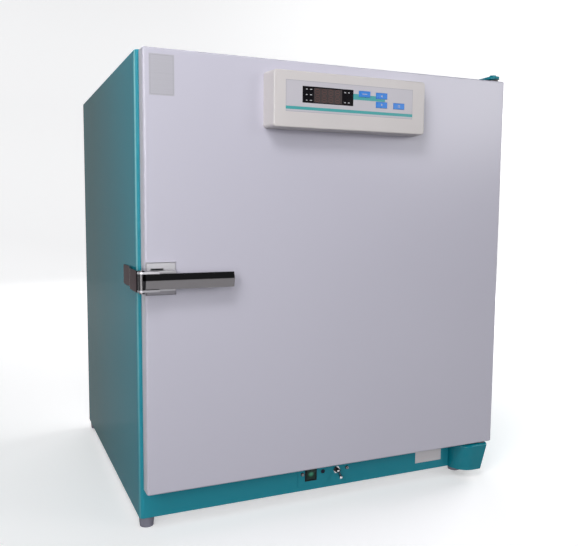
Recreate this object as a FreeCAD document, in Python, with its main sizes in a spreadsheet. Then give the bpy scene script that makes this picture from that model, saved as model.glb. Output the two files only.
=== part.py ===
"""Dry heat sterilizer of about 80 litres: a bench cabinet with a steam-free, fan-stirred chamber.

Lengths are in millimetres. X runs to the right, Y to the back and Z up, seen from the front.
The origin is the middle of the machine's footprint, on the surface that its feet stand on.
Places are written from the case's lower left front corner and moved to that origin by spot().
"""

import FreeCAD
import Part
import Sketcher

import math
import operator
import os

SIZES = {
    # case of bent sheet steel, with the plinth as part of its front
    "case_width": 640,
    "case_height": 688,
    "case_depth": 512,
    "case_sheet": 1.2,
    "case_bend": 7,
    "case_top_bend": 3,
    "case_lip": 20,
    "plinth_height": 48,
    "frame_overlap": 5,
    "pan_flange": 10,
    # rubber feet
    "foot_height": 16,
    "foot_radius": 12,
    "foot_taper": 1.5,
    "foot_inset": 13,
    "hinge_foot_inset": 44,
    "hinge_foot_setback": 18,
    # chamber of stainless sheet and the mineral wool round it
    "chamber_floor": 98,
    "wool_side": 80,
    "wool_top": 90,
    "machine_space": 127,
    "chamber_sheet": 0.8,
    "chamber_bend": 10,
    "chamber_lip": 15,
    "wool_clearance": 0.8,
    "wool_back": 60,
    # fan space behind the baffle
    "baffle_depth": 45,
    "baffle_sheet": 0.8,
    "intake_radius": 58,
    "intake_bar": 5,
    "outlet_width": 60,
    "outlet_height": 8,
    "outlet_inset": 24,
    "wheel_radius": 72,
    "wheel_hub_radius": 12,
    "wheel_width": 24,
    "wheel_sheet": 1.5,
    "wheel_gap": 8,
    "blade_root": 34,
    "shaft_radius": 4,
    "shaft_hole_radius": 9,
    "heater_radius": 96,
    "heater_tube": 3.8,
    "heater_leg_radius": 4.3,
    "heater_open_angle": 24,
    "heater_hole_radius": 4.6,
    "heater_tail": 18,
    # fan motor behind the wool
    "strap_width": 34,
    "strap_length": 150,
    "strap_sheet": 2,
    "strap_rise": 20,
    "strap_foot": 16,
    "motor_side": 74,
    "motor_stack": 24,
    "motor_bend": 6,
    "motor_bell_radius": 26,
    "motor_bell": 10,
    "motor_nose_radius": 11,
    "motor_nose": 7,
    "running_gap": 0.05,
    # shelves on ladder racks
    "rack_post": 16,
    "rack_sheet": 1,
    "rack_ledge": 12,
    "rack_front": 30,
    "rack_back": 20,
    "shelf_sheet": 1,
    "shelf_rim": 10,
    "shelf_gap": 1,
    "shelf_overhang": 5,
    "slot_width": 9,
    "slot_end": 22,
    # sensors and outlet through the back wall
    "probe_radius": 3,
    "probe_reach": 60,
    "probe_nut": 8,
    "probe_nut_radius": 8,
    "bulb_radius": 4,
    "bulb_reach": 30,
    "vent_radius": 11,
    "vent_wall": 1.5,
    "vent_reach": 12,
    "vent_rose": 19,
    "pipe_clearance": 0.5,
    # rear panel
    "louvre_width": 150,
    "louvre_height": 7,
    "louvre_pitch": 15,
    "louvre_bulge": 5,
    "louvre_sheet": 1,
    "louvre_column": 110,
    "gland_radius": 11,
    "gland_nut": 7,
    "gland_dome_radius": 9,
    "gland_reach": 22,
    "gland_bore": 4,
    "gland_tail": 10,
    "gland_inset": 70,
    # screws
    "screw_radius": 1.6,
    "screw_length": 8,
    "screw_hole_radius": 1.8,
    "head_radius": 3.4,
    "head_top_radius": 2.3,
    "head_height": 2,
    "screw_inset": 12,
    # door shell and what fills it
    "door_side_gap": 4,
    "door_lift": 0.5,
    "door_drop": 3.5,
    "door_thick": 28,
    "door_gap": 5,
    "door_sheet": 1.2,
    "door_front_bend": 4,
    "door_back_bend": 7,
    "door_edge_bend": 2.5,
    "liner_sheet": 1,
    "plug_depth": 10,
    "plug_gap": 5,
    "plug_bend": 4,
    "gasket_width": 12,
    "gasket_offset": 7,
    "gasket_bend": 22,
    "gasket_round": 2.2,
    "seal_gap": 0.3,
    # hinge line: a bolt at the top and a pin at the bottom
    "pivot_inset": 18,
    "pivot_depth": 23,
    "pin_radius": 4,
    "pin_reach": 16,
    "bush_radius": 6.5,
    "bush_flange": 1.5,
    "bush_flange_radius": 9,
    "bush_length": 14,
    "bracket_sheet": 4,
    "bracket_back": 40,
    "bracket_nose": 11,
    "bolt_head": 3,
    "bolt_head_radius": 5.6,
    "block_drop": 2,
    "block_left": 51,
    "block_right": 9,
    "block_depth": 33,
    "block_curve": 30,
    "block_slant": 14,
    "block_sheet": 2.5,
    "block_round": 5,
    # control housing on the door
    "housing_left": 184,
    "housing_width": 270,
    "housing_drop": 20.1,
    "housing_height": 81.7,
    "housing_depth": 28,
    "housing_draft": 9,
    "housing_bend": 5,
    "housing_round": 2,
    "housing_wall": 2.5,
    "overlay_inset": 23,
    "overlay_rise": 22.8,
    "overlay_width": 219.5,
    "overlay_height": 45.5,
    "overlay_thick": 0.5,
    "window_inset": 50,
    "window_rise": 36.6,
    "window_width": 85.5,
    "window_height": 24,
    "window_thick": 1.6,
    "display_depth": 7,
    "display_inset": 3,
    "board_thick": 1.6,
    "board_inset": 10,
    "key_width": 20,
    "key_height": 9,
    "key_gap": 0.3,
    "key_rise": 0.6,
    "key_depth": 5,
    "key_flange": 1.2,
    "mode_key_inset": 145,
    "mode_key_rise": 51.1,
    "step_key_inset": 175.4,
    "up_key_rise": 50.3,
    "down_key_rise": 36.8,
    "start_key_inset": 207,
    "start_key_rise": 36.8,
    # latch: the lever turns in two ears left of the door and hooks behind the keeper
    "latch_middle": 363.2,
    "latch_pivot_left": 4,
    "latch_pivot_front": 50,
    "latch_pin_radius": 2,
    "latch_pin_head": 2,
    "latch_pin_head_radius": 4,
    "ear_sheet": 3,
    "ear_radius": 6,
    "ear_back": 6,
    "ear_reach": 24,
    "barrel_radius": 5,
    "barrel_height": 22.5,
    "latch_side_gap": 0.3,
    "base_left": 5,
    "base_width": 44,
    "base_height": 47,
    "base_thick": 3,
    "base_bevel": 1.5,
    "boss_width": 41,
    "boss_depth": 10,
    "boss_wall": 1.5,
    "boss_notch": 7,
    "boss_shift": 2.2,
    "lever_length": 135,
    "lever_front": 7,
    "lever_back": 1,
    "lever_ridge": 3,
    "lever_ridge_bend": 4,
    "lever_end_bend": 1,
    "hook_height": 16,
    "hook_left": 0,
    "hook_shank": 3.4,
    "hook_tip": 6,
    "hook_thick": 3,
    "hook_back": 14.5,
    "keeper_height": 30,
    "keeper_sheet": 2.5,
    "keeper_tail": 85,
    "keeper_flat": 42,
    "keeper_ramp": 4,
    "keeper_bow": 9.5,
    "keeper_lip": 8.5,
    "keeper_front": 42,
    "keeper_bend": 2.4,
    # control plate with the switches, on the plinth
    "plate_left": 263,
    "plate_width": 100,
    "plate_low": 7,
    "plate_height": 40.5,
    "plate_sheet": 1.2,
    "plate_screw_inset": 8,
    "switch_level": 28.6,
    "rocker_middle": 23.2,
    "rocker_bezel_width": 21.4,
    "rocker_bezel_height": 25.2,
    "rocker_bezel": 2,
    "rocker_body_width": 19.4,
    "rocker_body_height": 23.2,
    "rocker_body": 24,
    "rocker_cavity": 12,
    "rocker_wall": 1.2,
    "rocker_side_gap": 0.3,
    "rocker_half_height": 9.2,
    "rocker_pivot_back": 2.2,
    "rocker_dish": 3.6,
    "rocker_horn": 5.2,
    "rocker_root": 4,
    "rocker_root_half": 5,
    "rocker_swing": 8,
    "rocker_axle": 1.5,
    "reset_place": 46,
    "reset_radius": 2,
    "reset_ring_radius": 2.8,
    "reset_ring": 0.6,
    "reset_length": 11,
    "reset_travel": 2.5,
    "reset_gap": 0.1,
    "thermostat_width": 24,
    "thermostat_height": 26,
    "thermostat_back": 30,
    "thermostat_lead": 12,
    "toggle_place": 71,
    "toggle_neck_radius": 3.9,
    "toggle_neck": 8,
    "toggle_bore": 3,
    "toggle_ball": 2.9,
    "toggle_lever_length": 12,
    "toggle_root_radius": 1.6,
    "toggle_tip_radius": 2.8,
    "toggle_pivot_inset": 0.6,
    "toggle_tilt": 38,
    "toggle_nut_radius": 6.4,
    "toggle_nut": 2.6,
    "toggle_body_width": 13,
    "toggle_body_height": 21,
    "toggle_body": 19,
    # power parts in the base
    "power_width": 120,
    "power_depth": 90,
    "power_height": 24,
    "fin_pitch": 12,
    "fin_sheet": 2.5,
    "fin_height": 16,
    "terminal_width": 72,
    "terminal_depth": 24,
    "terminal_height": 22,
    "terminal_inset": 90,
    "overrun": 10,
}

COUNTS = {
    "blades": 12,
    "rack_levels": 6,
    "shelf_slots": 14,
    "intake_bars": 5,
    "outlets": 9,
    "louvres": 9,
    "fins": 9,
}

# Places along a side, as shares of it
MIDDLE_SHARE = 0.5
PROBE_SHARES = (0.84, 0.82)
BULB_SHARES = (0.16, 0.62)
VENT_SHARES = (0.24, 0.88)
REAR_SCREW_SHARES = ((0, 0), (0, 0.5), (0, 1), (0.5, 0), (0.5, 1), (1, 0), (1, 0.5), (1, 1))
LINER_SCREW_SHARES = ((0, 0), (0, 0.35), (0, 0.65), (0, 1), (1, 0), (1, 0.35), (1, 0.65), (1, 1))
LOUVRE_LOW_SHARE = 0.4
RACK_PITCH_SHARE = 0.14
OUTLET_PITCH_SHARE = 0.08
RIDGE_SHARE = 0.58
TOLERANCE = 0.01

SIGNS = {"+": operator.add, "-": operator.sub, "*": operator.mul, "/": operator.truediv}
TURNS = {
    "x": FreeCAD.Rotation(FreeCAD.Vector(0, 1, 0), 90),
    "y": FreeCAD.Rotation(FreeCAD.Vector(1, 0, 0), -90),
    "z": FreeCAD.Rotation(),
}
PLANES = {"xy": "XY_Plane", "xz": "XZ_Plane", "yz": "YZ_Plane"}

doc = FreeCAD.newDocument("sterilizer")


class Size:
    """A length that holds its number and the sheet expression that it comes from."""

    def __init__(self, text, number):
        self.text = text
        self.number = number

    def __add__(self, other):
        return worked(self, "+", other)

    def __radd__(self, other):
        return worked(other, "+", self)

    def __sub__(self, other):
        return worked(self, "-", other)

    def __rsub__(self, other):
        return worked(other, "-", self)

    def __mul__(self, other):
        return worked(self, "*", other)

    def __rmul__(self, other):
        return worked(other, "*", self)

    def __truediv__(self, other):
        return worked(self, "/", other)

    def __neg__(self):
        return worked(0, "-", self)


def sized(value):
    return value if isinstance(value, Size) else Size(repr(value), value)


def worked(first, sign, second):
    first, second = sized(first), sized(second)
    number = SIGNS[sign](first.number, second.number)
    return Size(f"({first.text} {sign} {second.text})", number)


def turned(word, angle):
    """The sine, cosine or tangent of an angle given in degrees."""
    number = getattr(math, word)(math.radians(angle.number))
    return Size(f"{word}({angle.text} * 1deg)", number)


class Sheet:
    """The driving dimensions: one alias for each, read as size.alias."""

    def __init__(self, sizes):
        self.sheet = doc.addObject("Spreadsheet::Sheet", "Sizes")
        for row, (alias, value) in enumerate(sizes.items(), 1):
            self.sheet.set(f"A{row}", alias)
            self.sheet.set(f"B{row}", str(value))
            self.sheet.setAlias(f"B{row}", alias)
            setattr(self, alias, Size(f"Sizes.{alias}", float(value)))
        doc.recompute()


def bind(thing, prop, value):
    """Ties one property of an object to the sheet."""
    thing.setExpression(prop, sized(value).text)


def place(thing, point, way="z"):
    thing.Placement = FreeCAD.Placement(FreeCAD.Vector(), TURNS[way])
    for letter, value in zip("xyz", point):
        bind(thing, f"Placement.Base.{letter}", value)


def near(value, wanted):
    options = wanted if isinstance(wanted, tuple) else (wanted,)
    return any(abs(value - sized(option).number) < TOLERANCE for option in options)


def lying(way=None, **planes):
    """Picks the edges that run along one axis, or lie in the named planes, or both."""

    def picks(edge):
        box = edge.BoundBox
        spans = {"x": (box.XMin, box.XMax), "y": (box.YMin, box.YMax), "z": (box.ZMin, box.ZMax)}
        if way:
            length = max(high - low for low, high in spans.values())
            low, high = spans[way]
            across = [b - a for letter, (a, b) in spans.items() if letter != way]
            if high - low < length - TOLERANCE or max(across) > TOLERANCE:
                return False
        return all(
            near(spans[letter][0], wanted) and near(spans[letter][1], wanted)
            for letter, wanted in planes.items()
        )

    return picks


class Piece:
    """One body of the machine, built up from features whose sizes come from the sheet."""

    def __init__(self, name):
        self.name = name
        self.body = doc.addObject("PartDesign::Body", name)
        self.body.Label = name

    def feature(self, kind, word):
        return self.body.newObject(f"PartDesign::{kind}", f"{self.name}_{word}")

    def box(self, low, high, take=False):
        part = self.feature("SubtractiveBox" if take else "AdditiveBox", "pocket" if take else "block")
        for side, start, end in zip(("Length", "Width", "Height"), low, high):
            bind(part, side, end - start)
        place(part, low)
        return part

    def rod(self, start, way, length, radius, take=False):
        kind, word = ("SubtractiveCylinder", "hole") if take else ("AdditiveCylinder", "rod")
        part = self.feature(kind, word)
        bind(part, "Radius", radius)
        bind(part, "Height", length)
        place(part, start, way)
        return part

    def cone(self, start, way, length, first_radius, last_radius, take=False):
        part = self.feature("SubtractiveCone" if take else "AdditiveCone", "cone")
        bind(part, "Radius1", first_radius)
        bind(part, "Radius2", last_radius)
        bind(part, "Height", length)
        place(part, start, way)
        return part

    def ball(self, centre, radius):
        part = self.feature("AdditiveSphere", "ball")
        bind(part, "Radius", radius)
        place(part, centre)
        return part

    def outline(self, plane, offset, points):
        """A closed outline. A point is (u, v), or (u, v, radius) where the path into it is an arc."""
        sketch = self.body.newObject("Sketcher::SketchObject", f"{self.name}_outline")
        role = PLANES[plane]
        support = [part for part in self.body.Origin.OriginFeatures if part.Role == role][0]
        sketch.AttachmentSupport = (support, [""])
        sketch.MapMode = "FlatFace"
        bind(sketch, "AttachmentOffset.Base.z", -offset if plane == "xz" else offset)
        ends = [FreeCAD.Vector(sized(p[0]).number, sized(p[1]).number, 0) for p in points]
        count = len(points)
        for index, point in enumerate(points):
            start, end = ends[index - 1], ends[index]
            if len(point) == 3:
                sketch.addGeometry(arc_between(start, end, sized(point[2]).number), False)
            else:
                sketch.addGeometry(Part.LineSegment(start, end), False)
        for index, point in enumerate(points):
            after = (index + 1) % count
            last, first = arc_ends(points, index)[1], arc_ends(points, after)[0]
            sketch.addConstraint(Sketcher.Constraint("Coincident", index, last, after, first))
        for index, point in enumerate(points):
            last = arc_ends(points, index)[1]
            for word, value in (("DistanceX", point[0]), ("DistanceY", point[1])):
                held = Sketcher.Constraint(word, -1, 1, index, last, sized(value).number)
                self.hold(sketch, held, f"{word}_{index}", value)
            if len(point) == 3:
                radius = abs(sized(point[2]).number)
                held = Sketcher.Constraint("Radius", index, radius)
                value = point[2] if sized(point[2]).number > 0 else -point[2]
                self.hold(sketch, held, f"Radius_{index}", value)
        return sketch

    @staticmethod
    def hold(sketch, constraint, name, value):
        number = sketch.addConstraint(constraint)
        sketch.renameConstraint(number, name)
        sketch.setExpression(f"Constraints.{name}", sized(value).text)

    def pad(self, plane, start, length, points, take=False):
        """Grows an outline along the axis that its plane leaves out, from start."""
        sketch = self.outline(plane, start, points)
        part = self.feature("Pocket" if take else "Pad", "pocket" if take else "pad")
        part.Profile = sketch
        bind(part, "Length", length)
        part.Reversed = (plane == "xz") != take
        return part

    def edges(self, *picks):
        doc.recompute()
        shape = self.body.Tip.Shape
        found = [f"Edge{i}" for i, edge in enumerate(shape.Edges, 1) if any(p(edge) for p in picks)]
        if not found:
            raise ValueError(f"{self.name}: no edge is where a bend should be")
        return self.body.Tip, found

    def bend(self, radius, *picks):
        chosen = self.edges(*picks)
        part = self.feature("Fillet", "bend")
        part.Base = chosen
        bind(part, "Radius", radius)
        return part

    def bevel(self, size, *picks):
        chosen = self.edges(*picks)
        part = self.feature("Chamfer", "bevel")
        part.Base = chosen
        bind(part, "Size", size)
        return part

    def shell(self, wall, *planes):
        """Hollows the body, open at the faces that lie in the named planes."""
        doc.recompute()
        base = self.body.Tip
        open_faces = []
        for index, face in enumerate(base.Shape.Faces, 1):
            box = face.BoundBox
            spans = {"x": (box.XMin, box.XMax), "y": (box.YMin, box.YMax), "z": (box.ZMin, box.ZMax)}
            for letter, wanted in planes:
                if near(spans[letter][0], wanted) and near(spans[letter][1], wanted):
                    open_faces.append(f"Face{index}")
        part = self.feature("Thickness", "shell")
        part.Base = (base, open_faces)
        bind(part, "Value", wall)
        part.Reversed = True
        return part

    def repeat(self, features, way, length, count):
        """Repeats features evenly over a length along one axis."""
        part = self.feature("LinearPattern", "row")
        part.Originals = features
        role = {"x": "X_Axis", "y": "Y_Axis", "z": "Z_Axis"}[way]
        line = [one for one in self.body.Origin.OriginFeatures if one.Role == role][0]
        part.Direction = (line, [""])
        bind(part, "Length", length)
        part.Occurrences = count
        self.body.Tip = part
        return part


def arc_between(start, end, radius):
    """An arc of under half a turn; a positive radius turns it anticlockwise from start to end."""
    chord = end - start
    half = chord.Length / 2
    rise = (radius * radius - half * half) ** 0.5
    side = FreeCAD.Vector(-chord.y, chord.x, 0).normalize()
    centre = (start + end) / 2 + side * (rise if radius > 0 else -rise)
    middle = centre - side * abs(radius) if radius > 0 else centre + side * abs(radius)
    return Part.Arc(start, middle, end)


def arc_ends(points, index):
    """Which ends of a piece of outline come first and last along the path."""
    point = points[index]
    clockwise = len(point) == 3 and sized(point[2]).number < 0
    return (2, 1) if clockwise else (1, 2)


def block(name, low, high):
    part = doc.addObject("Part::Box", name)
    for side, start, end in zip(("Length", "Width", "Height"), low, high):
        bind(part, side, end - start)
    place(part, low)
    return part


def rod(name, start, way, length, radius):
    part = doc.addObject("Part::Cylinder", name)
    bind(part, "Radius", radius)
    bind(part, "Height", length)
    place(part, start, way)
    return part


def cone(name, start, way, length, first_radius, last_radius):
    part = doc.addObject("Part::Cone", name)
    bind(part, "Radius1", first_radius)
    bind(part, "Radius2", last_radius)
    bind(part, "Height", length)
    place(part, start, way)
    return part


def solid(piece):
    return piece.body if isinstance(piece, Piece) else piece


def fused(name, pieces):
    part = doc.addObject("Part::MultiFuse", name)
    part.Shapes = [solid(piece) for piece in pieces]
    return part


def cut(name, base, tools):
    part = doc.addObject("Part::Cut", name)
    part.Base = solid(base)
    part.Tool = fused(f"{name}_tools", tools) if len(tools) > 1 else solid(tools[0])
    return part


def together(name, pieces):
    """Several separate solids that share one node."""
    part = doc.addObject("Part::Compound", name)
    part.Links = [solid(piece) for piece in pieces]
    return part


size = Sheet(SIZES)

# The farthest things that stand out of the case fix where its corner lies
left_reach = size.latch_pivot_left + size.ear_radius
front_reach = size.door_gap + size.door_thick + size.housing_depth + size.key_rise
left = -(size.case_width - left_reach) / 2
front = -(size.case_depth + size.gland_reach - front_reach) / 2
floor = size.foot_height


def spot(x, y, z):
    """A place counted from the case's lower left front corner."""
    return left + x, front + y, floor + z


# Planes and lines that several pieces share, counted from the same corner
right_x = size.case_width
door_low = size.plinth_height + size.door_lift
door_high = size.case_height - size.door_drop
door_right = size.case_width - size.door_side_gap
door_back = -size.door_gap
door_front = -(size.door_gap + size.door_thick)
pivot_x = door_right - size.pivot_inset
pivot_y = -size.pivot_depth
chamber_left = size.wool_side
chamber_right = right_x - size.wool_side
chamber_width = chamber_right - chamber_left
chamber_low = size.chamber_floor
chamber_high = size.case_height - size.wool_top
chamber_height = chamber_high - chamber_low
chamber_depth = size.case_depth - size.machine_space
rack_pitch = chamber_height * RACK_PITCH_SHARE
outlet_pitch = chamber_height * OUTLET_PITCH_SHARE
slot_pitch = chamber_width / (COUNTS["shelf_slots"] + 1)
chamber_back = chamber_depth + size.chamber_sheet
wool_back = chamber_back + size.wool_back
wall_back = wool_back + size.case_sheet
case_back = size.case_depth - size.case_sheet
baffle_front = chamber_depth - size.baffle_depth
fan_x = chamber_left + chamber_width * MIDDLE_SHARE
fan_z = chamber_low + chamber_height * MIDDLE_SHARE
strap_front = wall_back + size.strap_rise
motor_back = strap_front + size.strap_sheet + size.motor_stack
probe_x = chamber_left + chamber_width * PROBE_SHARES[0]
probe_z = chamber_low + chamber_height * PROBE_SHARES[1]
bulb_x = chamber_left + chamber_width * BULB_SHARES[0]
bulb_z = chamber_low + chamber_height * BULB_SHARES[1]
vent_x = chamber_left + chamber_width * VENT_SHARES[0]
vent_z = chamber_low + chamber_height * VENT_SHARES[1]
housing_front = door_front - size.housing_depth
housing_low = door_high - size.housing_drop - size.housing_height
overlay_left = size.housing_left + size.overlay_inset
overlay_low = housing_low + size.overlay_rise
window_left = size.housing_left + size.window_inset
window_low_z = housing_low + size.window_rise
plate_front = -size.plate_sheet


def rounded_tube_core(name, inset, first_y, last_y, bend):
    """The chamber's outline grown by inset, from one depth to another."""
    core = Piece(name)
    low = spot(chamber_left - inset, first_y, chamber_low - inset)
    high = spot(chamber_right + inset, last_y, chamber_high + inset)
    core.box(low, high)
    core.bend(bend, lying("y", x=(low[0], high[0]), z=(low[2], high[2])))
    return core


def screw(name, x, y, z):
    """A pan-head screw driven towards the front, with its head's seat at y."""
    head = cone(f"{name}_head", spot(x, y, z), "y", size.head_height, size.head_radius, size.head_top_radius)
    shank = rod(f"{name}_shank", spot(x, y - size.screw_length, z), "y", size.screw_length, size.screw_radius)
    return fused(name, [head, shank])


def front_screw(name, x, y, z):
    """A pan-head screw driven towards the back, with its head's seat at y."""
    start = spot(x, y - size.head_height, z)
    head = cone(f"{name}_head", start, "y", size.head_height, size.head_top_radius, size.head_radius)
    shank = rod(f"{name}_shank", spot(x, y, z), "y", size.screw_length, size.screw_radius)
    return fused(name, [head, shank])


def spread(shares, low, high):
    """Places inside a rectangle, as shares of its sides."""
    return [
        (low[0] + (high[0] - low[0]) * across, low[1] + (high[1] - low[1]) * up) for across, up in shares
    ]


def through_wall():
    """What passes the back wall of the chamber: x, z and the radius of each hole."""
    swing = size.heater_open_angle / 2
    legs = [
        (fan_x + side * size.heater_radius * turned("sin", swing), size.heater_hole_radius)
        for side in (-1, 1)
    ]
    leg_z = fan_z - size.heater_radius * turned("cos", swing)
    holes = [(x, leg_z, radius) for x, radius in legs]
    holes.append((fan_x, fan_z, size.shaft_hole_radius))
    holes.append((probe_x, probe_z, size.probe_radius + size.pipe_clearance))
    holes.append((bulb_x, bulb_z, size.bulb_radius + size.pipe_clearance))
    holes.append((vent_x, vent_z, size.vent_radius + size.pipe_clearance))
    return holes


def case_shell():
    """Left side, top, right side and front lips of one folded sheet, with the plinth below."""
    case = Piece("case_shell")
    low, high = spot(0, 0, 0), spot(size.case_width, case_back, size.case_height)
    case.box(low, high)
    case.bend(size.case_bend, lying("z", y=low[1]))
    case.bend(size.case_top_bend, lying("x", z=high[2], y=low[1]))
    case.shell(size.case_sheet, ("y", high[1]), ("z", low[2]))
    mouth_low = spot(size.case_lip, -size.overrun, size.plinth_height)
    mouth_high = spot(right_x - size.case_lip, size.case_bend, size.case_height - size.case_lip)
    case.box(mouth_low, mouth_high, take=True)
    for x, z, width, height in switch_cutouts():
        start = spot(x - width / 2, -size.overrun, z - height / 2)
        case.box(start, spot(x + width / 2, size.overrun, z + height / 2), take=True)
    for x, z in plate_screw_places():
        case.rod(spot(x, -size.overrun, z), "y", size.overrun * 2, size.screw_hole_radius, take=True)


def front_frame():
    """The painted sheet between the case's lips and the chamber's mouth."""
    blank = Piece("front_frame_blank")
    low = spot(size.case_bend, size.case_sheet, size.plinth_height - size.frame_overlap)
    high = spot(right_x - size.case_bend, size.case_sheet * 2, size.case_height - size.case_top_bend)
    blank.box(low, high)
    hole = rounded_tube_core(
        "front_frame_hole",
        size.chamber_sheet,
        0,
        size.case_sheet * 2 + size.overrun,
        size.chamber_bend + size.chamber_sheet,
    )
    cut("front_frame", blank, [hole])


def chamber_liner():
    """The stainless box that holds the load, with its lip folded over the frame."""
    outer = rounded_tube_core(
        "chamber_outer",
        size.chamber_sheet,
        size.case_sheet,
        chamber_back,
        size.chamber_bend + size.chamber_sheet,
    )
    lip = rounded_tube_core(
        "chamber_lip",
        size.chamber_lip,
        size.case_sheet - size.chamber_sheet,
        size.case_sheet,
        size.chamber_bend + size.chamber_lip,
    )
    inner = rounded_tube_core("chamber_inner", 0, -size.overrun, chamber_depth, size.chamber_bend)
    tools = [inner]
    for index, (x, z, radius) in enumerate(through_wall()):
        start = spot(x, chamber_depth - size.overrun, z)
        tools.append(rod(f"chamber_hole_{index}", start, "y", size.overrun * 2, radius))
    cut("chamber_liner", fused("chamber_blank", [outer, lip]), tools)


def insulation():
    """Mineral wool round the chamber's four sides and behind its back."""
    gap = size.case_sheet + size.wool_clearance
    low = spot(gap, size.case_bend, size.plinth_height)
    high = spot(right_x - gap, chamber_back, size.case_height - gap)
    wrap = block("insulation_wrap_blank", low, high)
    hole = rounded_tube_core(
        "insulation_wrap_hole",
        size.chamber_sheet,
        0,
        chamber_back + size.overrun,
        size.chamber_bend + size.chamber_sheet,
    )
    cut("insulation_wrap", wrap, [hole])
    back = Piece("insulation_back")
    back.box(spot(gap, chamber_back, size.plinth_height), spot(right_x - gap, wool_back, size.case_height - gap))
    for x, z, radius in through_wall():
        start = spot(x, chamber_back - size.overrun, z)
        back.rod(start, "y", size.wool_back + size.overrun * 2, radius, take=True)


def inner_sheets():
    """The rear wall that holds the wool and the motor, and the ceiling of the base."""
    wall = Piece("inner_rear_wall")
    low = spot(size.case_sheet, wool_back, size.plinth_height)
    high = spot(right_x - size.case_sheet, wall_back, size.case_height - size.case_top_bend)
    wall.box(low, high)
    for x, z, radius in through_wall():
        wall.rod(spot(x, wool_back - size.overrun, z), "y", size.overrun * 2, radius, take=True)
    ceiling = Piece("base_ceiling")
    low = spot(size.case_sheet, size.case_bend, size.plinth_height - size.case_sheet)
    ceiling.box(low, spot(right_x - size.case_sheet, case_back, size.plinth_height))
    pan = Piece("base_pan")
    low = spot(size.case_sheet, size.case_bend, 0)
    high = spot(right_x - size.case_sheet, case_back, size.pan_flange)
    pan.box(low, high)
    pan.shell(size.case_sheet, ("z", high[2]), ("y", low[1]))


def rear_panel():
    """The removable back with two columns of pressed louvres."""
    panel = Piece("rear_panel")
    low, high = spot(0, case_back, 0), spot(right_x, size.case_depth, size.case_height)
    panel.box(low, high)
    panel.bend(size.case_top_bend, lying("y", z=high[2], x=(low[0], high[0])))
    holes = rear_screw_places()
    for x, z in holes:
        panel.rod(spot(x, case_back - size.overrun, z), "y", size.overrun * 2, size.screw_hole_radius, take=True)
    panel.rod(
        spot(vent_x, case_back - size.overrun, vent_z),
        "y",
        size.overrun * 2,
        size.vent_radius + size.pipe_clearance,
        take=True,
    )
    panel.rod(
        spot(right_x - size.gland_inset, case_back - size.overrun, size.plinth_height / 2),
        "y",
        size.overrun * 2,
        size.gland_dome_radius,
        take=True,
    )
    lowest = size.case_height * LOUVRE_LOW_SHARE
    back = front + size.case_depth
    rise = (COUNTS["louvres"] - 1) * size.louvre_pitch
    for side in (-1, 1):
        middle = fan_x + side * size.louvre_column
        start = left + middle - size.louvre_width / 2
        foot = floor + lowest
        hood = panel.pad(
            "yz",
            start,
            size.louvre_width,
            [(back, foot), (back + size.louvre_bulge, foot), (back, foot + size.louvre_height * 2)],
        )
        wall = size.louvre_sheet
        throat = panel.pad(
            "yz",
            start + wall,
            size.louvre_width - wall * 2,
            [
                (back - size.overrun / 2, foot - wall),
                (back + size.louvre_bulge - wall * 2, foot - wall),
                (back - wall, foot + size.louvre_height),
                (back - size.overrun / 2, foot + size.louvre_height),
            ],
            take=True,
        )
        panel.repeat([hood, throat], "z", rise, COUNTS["louvres"])
    together("rear_panel_screws", [screw(f"rear_screw_{i}", x, size.case_depth, z) for i, (x, z) in enumerate(holes)])


def rear_screw_places():
    inset = size.screw_inset
    return spread(REAR_SCREW_SHARES, (inset, inset), (right_x - inset, size.case_height - inset))


def feet():
    """Four tapered rubber feet; the one by the hinge stands further in, beside the block."""
    inset = size.foot_inset
    places = [
        (inset, inset),
        (right_x - size.hinge_foot_inset, size.hinge_foot_setback),
        (inset, size.case_depth - inset),
        (right_x - inset, size.case_depth - inset),
    ]
    pieces = []
    for index, (x, y) in enumerate(places):
        start = (left + x, front + y, floor - size.foot_height)
        small = size.foot_radius - size.foot_taper
        pieces.append(cone(f"foot_{index}", start, "z", size.foot_height, small, size.foot_radius))
    together("feet", pieces)


def fan_baffle():
    """The sheet in front of the fan: a barred intake in the middle and outlets at both sides."""
    baffle = Piece("fan_baffle")
    low = spot(chamber_left, baffle_front, chamber_low + size.chamber_bend)
    high = spot(chamber_right, chamber_depth, chamber_high - size.chamber_bend)
    baffle.box(low, high)
    baffle.shell(size.baffle_sheet, ("y", high[1]), ("x", low[0]), ("x", high[0]))
    deep = size.baffle_sheet + size.overrun
    start = spot(fan_x, baffle_front - size.overrun, fan_z)
    baffle.rod(start, "y", deep, size.intake_radius, take=True)
    bars = COUNTS["intake_bars"]
    step = size.intake_radius * 2 / (bars + 1)
    first = fan_z - size.intake_radius + step
    reach = size.intake_radius + size.intake_bar
    bar = baffle.box(
        spot(fan_x - reach, baffle_front, first - size.intake_bar / 2),
        spot(fan_x + reach, baffle_front + size.baffle_sheet, first + size.intake_bar / 2),
    )
    baffle.repeat([bar], "z", step * (bars - 1), bars)
    rise = (COUNTS["outlets"] - 1) * outlet_pitch
    for start_x in (chamber_left + size.outlet_inset, chamber_right - size.outlet_inset - size.outlet_width):
        low_z = fan_z - rise / 2 - size.outlet_height / 2
        outlet = baffle.box(
            spot(start_x, baffle_front - size.overrun, low_z),
            spot(start_x + size.outlet_width, baffle_front + deep, low_z + size.outlet_height),
            take=True,
        )
        baffle.repeat([outlet], "z", rise, COUNTS["outlets"])
    for x, z, radius in ((probe_x, probe_z, size.probe_radius),):
        start = spot(x, baffle_front - size.overrun, z)
        baffle.rod(start, "y", deep, radius + size.pipe_clearance, take=True)


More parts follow.
